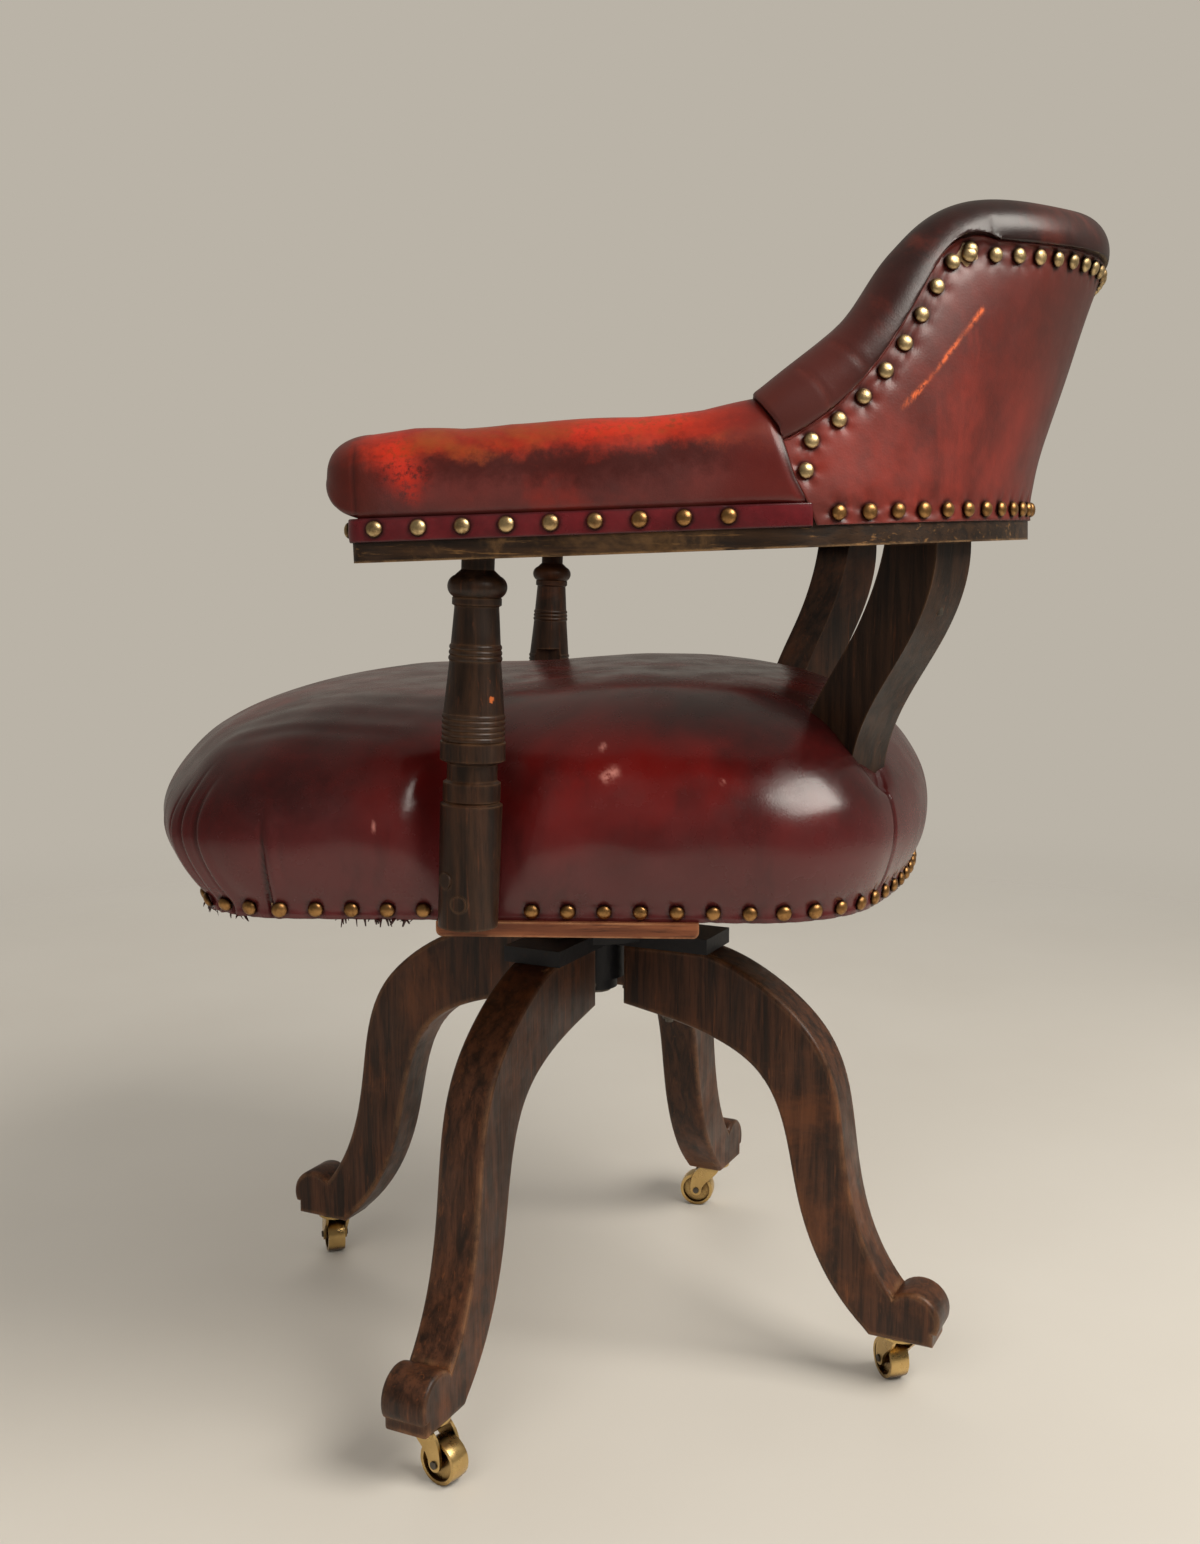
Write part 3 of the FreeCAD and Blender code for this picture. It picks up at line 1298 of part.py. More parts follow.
def arm_bands(shells):
    """Band round the outside and the front of each arm board, up to the seam."""
    hide = value("leather_thickness")
    low = value("band_rise")
    height = value("band_height")
    half, corner_y, tangent, corner, bow = bow_shape("0", "0")
    out_half = value(BOW_HALF)
    in_half = out_half - value("bow_width")
    front = value("bow_front")
    rear = value(corner_y)
    round_front = value("bow_front_corner")

    def block(grow):
        side = Part.makeBox(out_half - in_half + 2 * grow, rear - front + grow, height,
                            V(in_half - grow, front - grow, low))
        edges = [edge for edge in side.Edges
                 if abs(edge.tangentAt(0).z) > 0.9 and edge.CenterOfMass.y < front + 1]
        return side.makeFillet(round_front + grow, edges)

    ring = block(hide).cut(block(0))
    far = value("seam_foot_y")
    strip = shells[0].cut(shells[1]).common(
        Part.makeBox(out_half, far - rear, height, V(1, rear, low)))
    band = ring.fuse(strip)
    mirror = band.mirror(V(0, 0, 0), X_AXIS)
    for name, shape in (("left", band), ("right", mirror)):
        node("arm_band_" + name, coded("arm_band_" + name, moved(shape, BOW_FRAME)))


def windowed(frame):
    """Openings in the back frame, one behind and one in each corner."""
    width = value("window_width")
    height = value("window_height")
    foot = value("bow_thickness + window_foot")
    reach = value(f"2 * {BACK_REAR}")
    slot = Part.makeBox(reach, width, height, V(0, -width / 2, foot))
    middle = value(f"{BOW_REAR} - window_centre")
    for angle in (45, 90, 135):
        frame = frame.cut(moved(slot, at(y=middle, angle=angle)))
    return frame


def back(shells):
    panel_edge = side_prism(behind_seam("band_rise", True))
    frame_edge = side_prism(behind_seam("bow_thickness", True))
    panel = shells[0].cut(shells[1]).common(panel_edge)
    frame = windowed(shells[1].cut(shells[2]).common(frame_edge))
    pad = shells[2].cut(shells[3]).common(frame_edge)
    node("back_panel", coded("back_panel", moved(panel, BOW_FRAME)))
    node("back_frame", coded("back_frame", moved(frame, BOW_FRAME)))
    node("back_pad", coded("back_pad", moved(pad, BOW_FRAME)))
    return panel


def back_roll():
    """Tube along the top edge of the back, resting on the panel edge and ending at the seams."""
    side = value(BOW_HALF)
    rear = value(BOW_REAR)
    half = [V(share * side, rear + beyond, rise) for share, beyond, rise in ROLL_LINE]
    mirrored = [V(-p.x, p.y, p.z) for p in reversed(half[:-1])]
    line = Part.BSplineCurve()
    line.interpolate(half + mirrored)
    count = 4 * len(half)
    radius = value("roll_radius")
    sections = []
    for step in range(count + 1):
        place = line.FirstParameter + (line.LastParameter - line.FirstParameter) * step / count
        tangent = line.tangent(place)[0]
        across = tangent.cross(Z_AXIS).normalize()
        turn = FreeCAD.Rotation(across, V(), tangent, "ZXY")
        circle = Part.Wire(Part.makeCircle(radius))
        circle.Placement = FreeCAD.Placement(line.value(place), turn)
        sections.append(circle)
    tube = Part.makeLoft(sections, True, False)
    tube = tube.common(side_prism(behind_seam("bow_thickness", False)))
    tube = tube.cut(side_prism(behind_seam("bow_thickness", True)))
    node("back_roll", coded("back_roll", moved(tube, BOW_FRAME)))


# Nails: a dome with a shank, driven where a point close to the hide falls on it

def nail():
    radius = value("nail_diameter / 2")
    height = value("nail_height")
    ball = (radius * radius + height * height) / (2 * height)
    dome = Part.makeSphere(ball, V(0, 0, height - ball))
    dome = dome.common(Part.makeBox(4 * ball, 4 * ball, 2 * ball, V(-2 * ball, -2 * ball, 0)))
    shank = rod(value("nail_shank_diameter / 2"), value("nail_shank_length"), at(axis=X_AXIS, angle=180))
    return dome.fuse(shank)


def driven(one, hide, guesses):
    """Set a nail on the hide under each point, square to the surface there."""
    nails = []
    for guess in guesses:
        gap, pairs, info = hide.distToShape(Part.Vertex(guess))
        spot = pairs[0][0]
        nails.append(moved(one, towards(spot, guess - spot)))
    return nails


def spaced(outline, spacing):
    """Evenly spaced points along a wire, as near to the spacing as its length allows."""
    count = max(2, round(outline.Length / spacing)) + 1
    return outline.discretize(Number=count)


def seat_nails(leather):
    rise = value(f"{FRAME_FOOT} + seat_nail_rise")
    ring = wire(seat_outline(f"(-{SEAT_NAIL_GUIDE})"), at(z=rise))
    guesses = spaced(ring, value("seat_nail_spacing"))[:-1]
    post_room = value("post_ring_radius + nail_post_gap")
    clear = [p for p in guesses
             if p.y < value("post_foot_y") - post_room or p.y > value("post_foot_y") + post_room
             or abs(p.x) < value("seat_half_width - frame_width")]
    solids = driven(nail(), leather, clear)
    node("seat_nails", coded("seat_nails", Part.makeCompound(solids)))


def arm_nails():
    """Nails along the outside and across the front of each band, in the bow's frame."""
    rise = value("bow_nail_rise")
    spacing = value("arm_nail_spacing")
    face = value(f"{BOW_HALF} + leather_thickness")
    front = value("bow_front - leather_thickness")
    start = value("bow_front + bow_front_corner + arm_nail_start")
    end = value("seam_foot_y - arm_nail_end")
    count = round((end - start) / spacing)
    one = nail()
    solids = []
    for side in (1, -1):
        for step in range(count + 1):
            y = start + (end - start) * step / count
            solids.append(moved(one, towards(V(side * face, y, rise), X_AXIS * side)))
        for turn in (-1, 0, 1):
            x = side * value(f"{BOW_HALF} - bow_width / 2") + turn * value("front_nail_spacing")
            solids.append(moved(one, towards(V(x, front, rise), V(0, -1, 0))))
    node("arm_nails", coded("arm_nails", moved(Part.makeCompound(solids), BOW_FRAME)))


def back_nails(panel):
    """Nails along the lower edge and the upper edge of the outer panel, in the bow's frame."""
    edge = EDGE_END[1] - value("edge_nail_inset")
    lower = horseshoe_line(value("bow_nail_rise"), BACK_NAIL_GUIDE)
    upper = horseshoe_line(edge, BACK_NAIL_GUIDE)
    start = value("seam_foot_y + back_nail_start")
    upper_start = value(f"{edge_point(EDGE_END)[0]} - edge_nail_lap")
    guesses = [p for p in spaced(lower, value("back_nail_spacing")) if p.y > start]
    guesses += [p for p in spaced(upper, value("edge_nail_spacing")) if p.y > upper_start]
    diagonal = edge_line()
    inset = value("edge_nail_inset")
    for spot in spaced(diagonal, value("edge_nail_spacing"))[1:-1]:
        place = diagonal.Edges[0].Curve.parameter(spot)
        along = V(*diagonal.Edges[0].Curve.tangent(place)[0])
        below = spot + V(0, along.z, -along.y) * inset
        x = horseshoe_half(below.y, below.z) + BACK_NAIL_GUIDE
        guesses += [V(x, below.y, below.z), V(-x, below.y, below.z)]
    solids = driven(nail(), panel, guesses)
    node("back_nails", coded("back_nails", moved(Part.makeCompound(solids), BOW_FRAME)))


def edge_line():
    """Slanting part of the panel edge in the plane x = 0."""
    points = [edge_point(point) for point in [EDGE_START] + EDGE_POLES + [EDGE_END]]
    curve = Part.BSplineCurve()
    curve.buildFromPoles([V(0, value(along), value(rise)) for along, rise in points], False, 3)
    return Part.Wire(curve.toShape())


def horseshoe_line(level, grow):
    half, corner_y, tangent, corner, bow = bow_shape(repr(flare_share(level)), f"(-{grow})")
    outline = wire([
        (half, "0", None),
        (half, corner_y, corner),
        (tangent[0], tangent[1], bow),
        ("-" + tangent[0], tangent[1], corner),
        ("-" + half, corner_y, None),
        ("-" + half, "0", None),
    ], at(z=level))
    return Part.Wire([edge for edge in outline.Edges if edge.CenterOfMass.y > 1])


def horseshoe_half(y, level):
    """Half width of the back's outline at a place along the chair and a level."""
    half, corner_y, tangent, corner, bow = [item if isinstance(item, tuple) else value(item)
                                            for item in bow_shape(repr(flare_share(level)), "0")]
    if y < corner_y:
        return half
    return half - corner + math.sqrt(max(0.0, corner * corner - (y - corner_y) ** 2))


def check_and_write():
    doc.recompute()
    for item in doc.Objects:
        if "Invalid" in item.State or "Error" in item.State:
            raise RuntimeError("failed: " + item.Name)
    os.makedirs("parts", exist_ok=True)
    for label, piece in NODES.items():
        shape = piece.Shape
        if shape.isNull() or not shape.isValid():
            raise RuntimeError("bad shape: " + label)
        shape.exportStep("parts/%s.step" % label)


def build():
    casters()
    pockets = caster_plates()
    bolts = leg_bolts()
    legs(bolts, pockets)
    spider(bolts)
    spindle = spindle_parts()
    board_screws = seat_iron_and_board(spindle)

    reach = f"4 * {BOW_HALF}"
    above_bow = box("above_bow", reach, reach, POST_HEIGHT,
                    BOW_FRAME * at(x=-value(reach) / 2, y=-value(reach) / 2))
    post_screws, plugs = post_fasteners()
    posts(above_bow, post_screws, plugs)
    screws = upright_fasteners()
    uprights(above_bow, screws)
    seat_frame([board_screws, post_screws])
    seat_webbing()
    seat_springs()
    doc.recompute()

    openings = [NODES["upright_left"].Shape, NODES["upright_right"].Shape, post_screws.Shape]
    leather = seat_cushion({1: post_frame(1), -1: post_frame(-1)}, openings)
    seat_nails(leather)

    dowels = bow_dowels()
    bow_boards(dowels, screws)
    arm_pads()
    inset = "back_frame_thickness"
    shells = [
        horseshoe("(-leather_thickness)"),
        horseshoe("0"),
        horseshoe(inset),
        horseshoe(f"({inset} + back_pad_thickness)"),
    ]
    arm_bands(shells)
    panel = back(shells)
    back_roll()
    arm_nails()
    back_nails(panel)
    check_and_write()


build()
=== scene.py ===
import json
import math

import bpy
import numpy as np
from mathutils import Matrix, Vector
from mathutils.bvhtree import BVHTree


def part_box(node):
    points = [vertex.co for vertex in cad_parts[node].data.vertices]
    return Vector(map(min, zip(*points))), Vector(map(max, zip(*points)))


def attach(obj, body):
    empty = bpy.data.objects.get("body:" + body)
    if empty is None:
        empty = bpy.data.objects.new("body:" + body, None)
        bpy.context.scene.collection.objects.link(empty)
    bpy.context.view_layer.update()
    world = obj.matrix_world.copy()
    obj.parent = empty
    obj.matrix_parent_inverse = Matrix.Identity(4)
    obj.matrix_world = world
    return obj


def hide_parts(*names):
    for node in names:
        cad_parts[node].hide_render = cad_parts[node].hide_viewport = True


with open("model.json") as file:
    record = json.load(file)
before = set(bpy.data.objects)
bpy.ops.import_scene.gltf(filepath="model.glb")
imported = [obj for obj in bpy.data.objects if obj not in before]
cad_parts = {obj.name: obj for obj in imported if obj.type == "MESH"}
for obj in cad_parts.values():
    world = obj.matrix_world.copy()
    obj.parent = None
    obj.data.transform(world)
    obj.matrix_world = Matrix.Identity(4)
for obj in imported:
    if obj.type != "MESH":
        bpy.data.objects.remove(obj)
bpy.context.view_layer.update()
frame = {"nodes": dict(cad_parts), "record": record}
nodes = frame["nodes"]

# Bankers swivel chair, metres, +Z up. The sitter faces -Y, and +X is the sitter's left.
# Places that the frame gives

SEAT_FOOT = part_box("seat_rail_front")[0].z
SEAT_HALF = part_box("seat_rail_left")[1].x
SEAT_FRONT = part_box("seat_rail_front")[0].y
SEAT_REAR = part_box("seat_rail_back")[1].y
BOW_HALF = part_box("arm_rail_left")[1].x
BOW_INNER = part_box("arm_rail_left")[0].x

# Shape of the seat cover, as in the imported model

SEAT_MIDDLE = -0.022
SEAT_FRONT_BOW = 0.650
SEAT_REAR_BOW = 0.520
SEAT_FRONT_CORNER = 0.065
SEAT_REAR_CORNER = 0.090
# Height over the frame's underside, swell beyond the frame, shift forward
SEAT_PROFILE = [
    (0.0000, 0.0022, 0.000),
    (0.0060, 0.0022, 0.000),
    (0.0120, 0.0042, 0.001),
    (0.0220, 0.0095, 0.002),
    (0.0320, 0.0135, 0.003),
    (0.0440, 0.0165, 0.004),
    (0.0580, 0.0170, 0.005),
    (0.0740, 0.0125, 0.005),
    (0.0920, 0.0005, 0.004),
    (0.1020, -0.0095, 0.004),
    (0.1180, -0.0320, 0.001),
    (0.1316, -0.0640, 0.000),
    (0.1396, -0.0980, 0.000),
    (0.1435, -0.1500, 0.000),
    (0.1449, -0.2100, 0.000),
    (0.1453, -0.2700, 0.000),
]
SEAT_FRONT_PUFF = 0.005

# The arm bow's own frame: tilted, with its origin on the boards' underside over the axis

BOW_TILT = math.radians(2.02)
BOW_HEIGHT = 0.629
BOW_FRAME = Matrix.Translation((0, 0, BOW_HEIGHT)) @ Matrix.Rotation(BOW_TILT, 4, "X")
BOW_FRONT = -0.127
BOARD_TOP = 0.025
BAND_MIDDLE = 0.0185
ARM_MIDDLE = (BOW_HALF + BOW_INNER) / 2

# Outlines of the back: at the boards and at the top edge of the panel

BACK_LOW = {"half": BOW_HALF, "rear": 0.311, "corner": 0.210, "bow": 1.500}
BACK_HIGH = {"half": 0.280, "rear": 0.366, "corner": 0.170, "bow": 0.800}
BACK_EDGE_LEVEL = 0.175
BACK_FLARE = 1.3
# Edge of the outer panel in side view: along the chair, height over the boards' underside
EDGE_POLES = [(0.123, 0.060), (0.142, 0.068), (0.179, 0.095), (0.212, 0.146), (0.235, 0.189),
              (0.262, 0.1775)]
# Seam between arm and back in side view
SEAM_LINE = [(0.1460, 0.012), (0.1410, 0.025), (0.1330, 0.040), (0.1285, 0.055), (0.1240, 0.070),
             (0.1110, 0.088)]


def smooth_line(points, count):
    """Evenly spaced points on a smooth curve through the given ones."""
    points = np.array(points, float)
    line = np.vstack([2 * points[0] - points[1], points, 2 * points[-1] - points[-2]])
    share = np.linspace(0, 1, 16, endpoint=False)[:, None]
    parts = []
    for a, b, c, d in zip(line, line[1:], line[2:], line[3:]):
        parts.append(0.5 * (2 * b + (c - a) * share + (2 * a - 5 * b + 4 * c - d) * share ** 2
                            + (3 * b - a - 3 * c + d) * share ** 3))
    return resample(np.vstack(parts + [points[-1:]]), count)


def lengths(line):
    """Length along a line at each of its points."""
    return np.concatenate([[0], np.cumsum(np.linalg.norm(np.diff(line, axis=0), axis=1))])


def at_lengths(line, reach, wanted):
    """Values of a line at wanted lengths, where its own points lie at the lengths in reach."""
    return np.column_stack([np.interp(wanted, reach, column) for column in line.T])


def resample(line, count):
    reach = lengths(line)
    return at_lengths(line, reach, np.linspace(0, reach[-1], count))


def relaxed(line, rounds):
    """The same line with its bends evened out."""
    line = line.copy()
    for _ in range(rounds):
        line[1:-1] = (line[:-2] + 2 * line[1:-1] + line[2:]) / 4
    return line


def b_spline(poles, count):
    """Points on a clamped cubic curve with those poles."""
    poles = np.array(poles, float)
    spans = len(poles) - 3
    knots = np.concatenate([[0] * 3, np.linspace(0, 1, spans + 1), [1] * 3])
    places = np.linspace(0, 1 - 1e-9, count)
    weight = [((places >= a) & (places < b)).astype(float) for a, b in zip(knots, knots[1:])]
    for degree in (1, 2, 3):
        raised = []
        for i in range(len(weight) - 1):
            total = np.zeros(count)
            if knots[i + degree] > knots[i]:
                total += (places - knots[i]) / (knots[i + degree] - knots[i]) * weight[i]
            if knots[i + degree + 1] > knots[i + 1]:
                span = knots[i + degree + 1] - knots[i + 1]
                total += (knots[i + degree + 1] - places) / span * weight[i + 1]
            raised.append(total)
        weight = raised
    return np.array(weight).T @ poles


def step_up(value, low, high):
    """Smooth step from 0 at low to 1 at high."""
    share = np.clip((value - low) / (high - low), 0, 1)
    return share * share * (3 - 2 * share)


def hill(distance, width):
    return np.exp(-(distance / width) ** 2)


# Mesh building

def add_mesh(name, points, faces, smooth=True):
    mesh = bpy.data.meshes.new(name)
    mesh.from_pydata(points, [], faces)
    mesh.validate()
    if smooth:
        mesh.shade_smooth()
    made = bpy.data.objects.new(name, mesh)
    bpy.context.scene.collection.objects.link(made)
    return made


def surface(name, rows):
    """Closed skin over a grid of points: each row is a loop, and the first and last one are capped."""
    rows = np.array(rows, float)
    count, width = rows.shape[:2]
    near = np.arange(count * width).reshape(count, width)
    far = np.roll(near, -1, axis=1)
    faces = np.stack([near[:-1], far[:-1], far[1:], near[1:]], axis=-1).reshape(-1, 4).tolist()
    points = rows.reshape(-1, 3).tolist()
    for row, (first, second) in ((0, (far, near)), (-1, (near, far))):
        middle = len(points)
        points.append(rows[row].mean(axis=0).tolist())
        faces += [[int(a), int(b), middle] for a, b in zip(first[row], second[row])]
    return outwards(add_mesh(name, points, faces))


def outwards(obj):
    """Turn all faces outwards."""
    mesh = obj.data
    points = vertices(obj)
    corners = np.array([face.vertices[:3] for face in mesh.polygons])
    a, b, c = (points[corners[:, i]] - points.mean(axis=0) for i in range(3))
    if np.einsum("ij,ij->i", a, np.cross(b, c)).sum() < 0:
        mesh.flip_normals()
    return obj


def vertices(obj):
    found = np.empty(len(obj.data.vertices) * 3, np.float32)
    obj.data.vertices.foreach_get("co", found)
    return found.reshape(-1, 3).astype(float)


def set_vertices(obj, points):
    obj.data.vertices.foreach_set("co", points.astype(np.float32).ravel())
    obj.data.update()


def vertex_normals(obj):
    found = np.empty(len(obj.data.vertices) * 3, np.float32)
    obj.data.vertex_normals.foreach_get("vector", found)
    return found.reshape(-1, 3).astype(float)


def push(obj, amount):
    """Move each vertex along its normal."""
    set_vertices(obj, vertices(obj) + vertex_normals(obj) * amount[:, None])


def shade(obj, amount, name="cavity"):
    """Keep a number from 0 to 1 at each vertex, for painted shade, dirt and wear in the material."""
    kept = obj.data.attributes.get(name)
    if kept is None:
        kept = obj.data.attributes.new(name, "FLOAT", "POINT")
    else:
        before = np.empty(len(obj.data.vertices), np.float32)
        kept.data.foreach_get("value", before)
        amount = np.maximum(before, amount)
    kept.data.foreach_set("value", np.clip(amount, 0, 1).astype(np.float32))


def mirrored(obj, name):
    """Copy of a piece on the other side of the chair."""
    copy = bpy.data.objects.new(name, obj.data.copy())
    copy.data.transform(Matrix.Scale(-1, 4, (1, 0, 0)))
    copy.data.flip_normals()
    bpy.context.scene.collection.objects.link(copy)
    return copy


def in_bow(points):
    """Points of the tilted arm bow in the row frame."""
    turn = np.array(BOW_FRAME.to_3x3())
    return np.array(points, float) @ turn.T + np.array(BOW_FRAME.translation)


def to_bow(points):
    """Points of the row frame in the tilted arm bow's frame."""
    turn = np.array(BOW_FRAME.to_3x3())
    return (np.array(points, float) - np.array(BOW_FRAME.translation)) @ turn


def nearest_on(points, line):
    """Nearest place to each point on a line of points, and how far it is."""
    line = np.array(line, float)
    nearest = np.zeros(points.shape)
    gap = np.full(len(points), np.inf)
    for start, end in zip(line, line[1:]):
        along = end - start
        share = np.clip((points - start) @ along / (along @ along), 0, 1)
        spot = start + share[:, None] * along
        reach = np.linalg.norm(points - spot, axis=1)
        closer = reach < gap
        gap[closer] = reach[closer]
        nearest[closer] = spot[closer]
    return nearest, gap


def near_line(points, line):
    """Distance of each point to a line of points."""
    return nearest_on(points, line)[1]


def groove(obj, gap, depth, width, puff=0.0, dark=0.9, where=1.0):
    """Sewn seam or crease: a sharp valley with a soft swell on both sides of it, and painted shade along
    the valley.
    """
    valley = hill(gap, width)
    swell = hill(gap - 3.0 * width, 2.2 * width)
    push(obj, where * (puff * swell - depth * valley))
    # Painted shade along the bottom of the valley
    shade(obj, where * dark * hill(gap, width * 0.8))


def rub(obj, points, marks):
    """Worn marks, each with its start, end, width and amount, in the same frame as the points."""
    for start, end, width, amount in marks:
        shade(obj, amount * hill(near_line(points, [start, end]), width), "rub")


def waves(points, rows):
    """Low waves of a slack hide. A row has a height, then the direction and phase of two sines."""
    total = np.zeros(len(points))
    for height, first, first_phase, second, second_phase in rows:
        total += height * np.sin(points @ first + first_phase) * np.sin(points @ second + second_phase)
    return total


def finished(obj, materials, slot, stands_for=()):
    """Give a piece of the seat its material, hang it on the seat's body and hide the CAD parts it stands
    for.
    """
    obj.data.materials.append(materials[slot])
    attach(obj, "seat")
    if stands_for:
        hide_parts(*stands_for)


# Camera at the photograph's viewpoint

IMAGE_WIDTH = 1200
IMAGE_HEIGHT = 1544
FOCAL_PIXELS = 1614.4
SENSOR = 36.0
CAMERA_PLACE = Vector((1.2736, 0.0638, 0.6309))
CAMERA_YAW = 0.0468
CAMERA_PITCH = -0.1351


def make_camera():
    data = bpy.data.cameras.new("camera")
    data.sensor_width = SENSOR
    data.lens = FOCAL_PIXELS * SENSOR / max(IMAGE_WIDTH, IMAGE_HEIGHT)
    camera = bpy.data.objects.new("camera", data)
    forward = Vector((-math.cos(CAMERA_YAW) * math.cos(CAMERA_PITCH),
                      -math.sin(CAMERA_YAW) * math.cos(CAMERA_PITCH),
                      math.sin(CAMERA_PITCH)))
    camera.location = CAMERA_PLACE
    camera.rotation_mode = "QUATERNION"
    camera.rotation_quaternion = forward.to_track_quat("-Z", "Y")
    bpy.context.scene.collection.objects.link(camera)
    bpy.context.scene.camera = camera


def srgb(red, green, blue):
    """Colour from 0-255 screen values."""
    def linear(level):
        level /= 255
        return level / 12.92 if level <= 0.04045 else ((level + 0.055) / 1.055) ** 2.4
    return (linear(red), linear(green), linear(blue), 1.0)


class Graph:
    """A node tree, with short calls for its nodes."""

    def __init__(self, tree):
        self.tree = tree

    def node(self, kind, **settings):
        made = self.tree.nodes.new("ShaderNode" + kind)
        for name, setting in settings.items():
            setattr(made, name, setting)
        return made

    def feed(self, socket, value):
        if isinstance(value, bpy.types.NodeSocket):
            self.tree.links.new(value, socket)
        else:
            socket.default_value = value

    def place(self, scale=(1, 1, 1), turn=(0, 0, 0)):
        """Coordinates in the row frame, turned and then stretched."""
        found = self.node("TexCoord").outputs["Object"]
        turned = self.node("VectorRotate", rotation_type="EULER_XYZ")
        self.feed(turned.inputs["Vector"], found)
        self.feed(turned.inputs["Rotation"], turn)
        sized = self.node("VectorMath", operation="MULTIPLY")
        self.feed(sized.inputs[0], turned.outputs[0])
        self.feed(sized.inputs[1], scale)
        return sized.outputs[0]

    def axis(self, name):
        parts = self.node("SeparateXYZ")
        self.feed(parts.inputs[0], self.place())
        return parts.outputs[name]

    def noise(self, scale, detail=4.0, roughness=0.55, distortion=0.0, place=None):
        made = self.node("TexNoise")
        self.feed(made.inputs["Vector"], place or self.place())
        self.feed(made.inputs["Scale"], scale)
        self.feed(made.inputs["Detail"], detail)
        self.feed(made.inputs["Roughness"], roughness)
        self.feed(made.inputs["Distortion"], distortion)
        return made.outputs[0]

    def cells(self, scale):
        made = self.node("TexVoronoi")
        self.feed(made.inputs["Vector"], self.place())
        self.feed(made.inputs["Scale"], scale)
        return made.outputs["Distance"]

    def math(self, operation, a, b=0.0):
        made = self.node("Math", operation=operation)
        self.feed(made.inputs[0], a)
        self.feed(made.inputs[1], b)
        return made.outputs[0]

    def between(self, value, low, high, start=0.0, end=1.0):
        """Smooth step of a value from start at low to end at high."""
        made = self.node("MapRange", interpolation_type="SMOOTHSTEP")
        for name, number in zip(("Value", "From Min", "From Max", "To Min", "To Max"),
                                (value, low, high, start, end)):
            self.feed(made.inputs[name], number)
        return made.outputs[0]

    def mix(self, share, a, b, kind="MIX"):
        made = self.node("Mix", data_type="RGBA", blend_type=kind)
        self.feed(made.inputs[0], share)
        self.feed(made.inputs[6], a)
        self.feed(made.inputs[7], b)
        return made.outputs[2]

    def kept(self, name):
        """Number that the mesh keeps at its vertices."""
        return self.node("Attribute", attribute_name=name).outputs["Fac"]

    def bump(self, height, strength, distance, before=None):
        made = self.node("Bump")
        self.feed(made.inputs["Height"], height)
        self.feed(made.inputs["Strength"], strength)
        self.feed(made.inputs["Distance"], distance)
        if before is not None:
            self.feed(made.inputs["Normal"], before)
        return made.outputs[0]


class Paint(Graph):
    """One procedural material."""

    def __init__(self, name, roughness=0.5, metallic=0.0):
        self.material = bpy.data.materials.new(name)
        self.material.use_nodes = True
        super().__init__(self.material.node_tree)
        self.shader = self.tree.nodes["Principled BSDF"]
        self.shader.inputs["Roughness"].default_value = roughness
        self.shader.inputs["Metallic"].default_value = metallic

    def set(self, **sockets):
        for name, value in sockets.items():
            self.feed(self.shader.inputs[name.replace("_", " ")], value)


# Floor, light and surroundings

FLOOR_COLOUR = srgb(220, 216, 208)
FLOOR_CLOUDS = srgb(203, 197, 187)
FLOOR_RADIUS = 3.0
FLOOR_SIDES = 64
# Distance from the chair over which the floor passes into the wall's colour
FLOOR_FADE = (0.9, 2.6)
WALL_COLOUR = srgb(186, 179, 167)
AMBIENT = (0.62, 0.60, 0.57, 1.0)
AMBIENT_STRENGTH = 0.55
DAYLIGHT = (1.0, 0.95, 0.87)
# Brightness of the wall in reflections: on the far side of the chair and on the near side
FAR_ROOM = 0.52
NEAR_ROOM = 0.28
LAMP_TARGET = Vector((0, 0, 0.45))


def make_floor():
    angles = np.linspace(0, 2 * math.pi, FLOOR_SIDES, False)
    ring = [(math.cos(a) * FLOOR_RADIUS, math.sin(a) * FLOOR_RADIUS, 0) for a in angles]
    floor = add_mesh("floor", ring, [list(range(FLOOR_SIDES))], smooth=False)
    paint = Paint("floor_paint", 0.55)
    paint.set(Base_Color=paint.mix(paint.noise(1.5), FLOOR_COLOUR, FLOOR_CLOUDS))
    place = paint.node("VectorMath", operation="LENGTH")
    paint.feed(place.inputs[0], paint.place())
    blend = paint.node("MixShader")
    paint.feed(blend.inputs[0], paint.between(place.outputs["Value"], *FLOOR_FADE))
    paint.feed(blend.inputs[1], paint.shader.outputs[0])
    paint.feed(blend.inputs[2], paint.node("BsdfTransparent").outputs[0])
    paint.feed(paint.tree.nodes["Material Output"].inputs["Surface"], blend.outputs[0])
    floor.data.materials.append(paint.material)


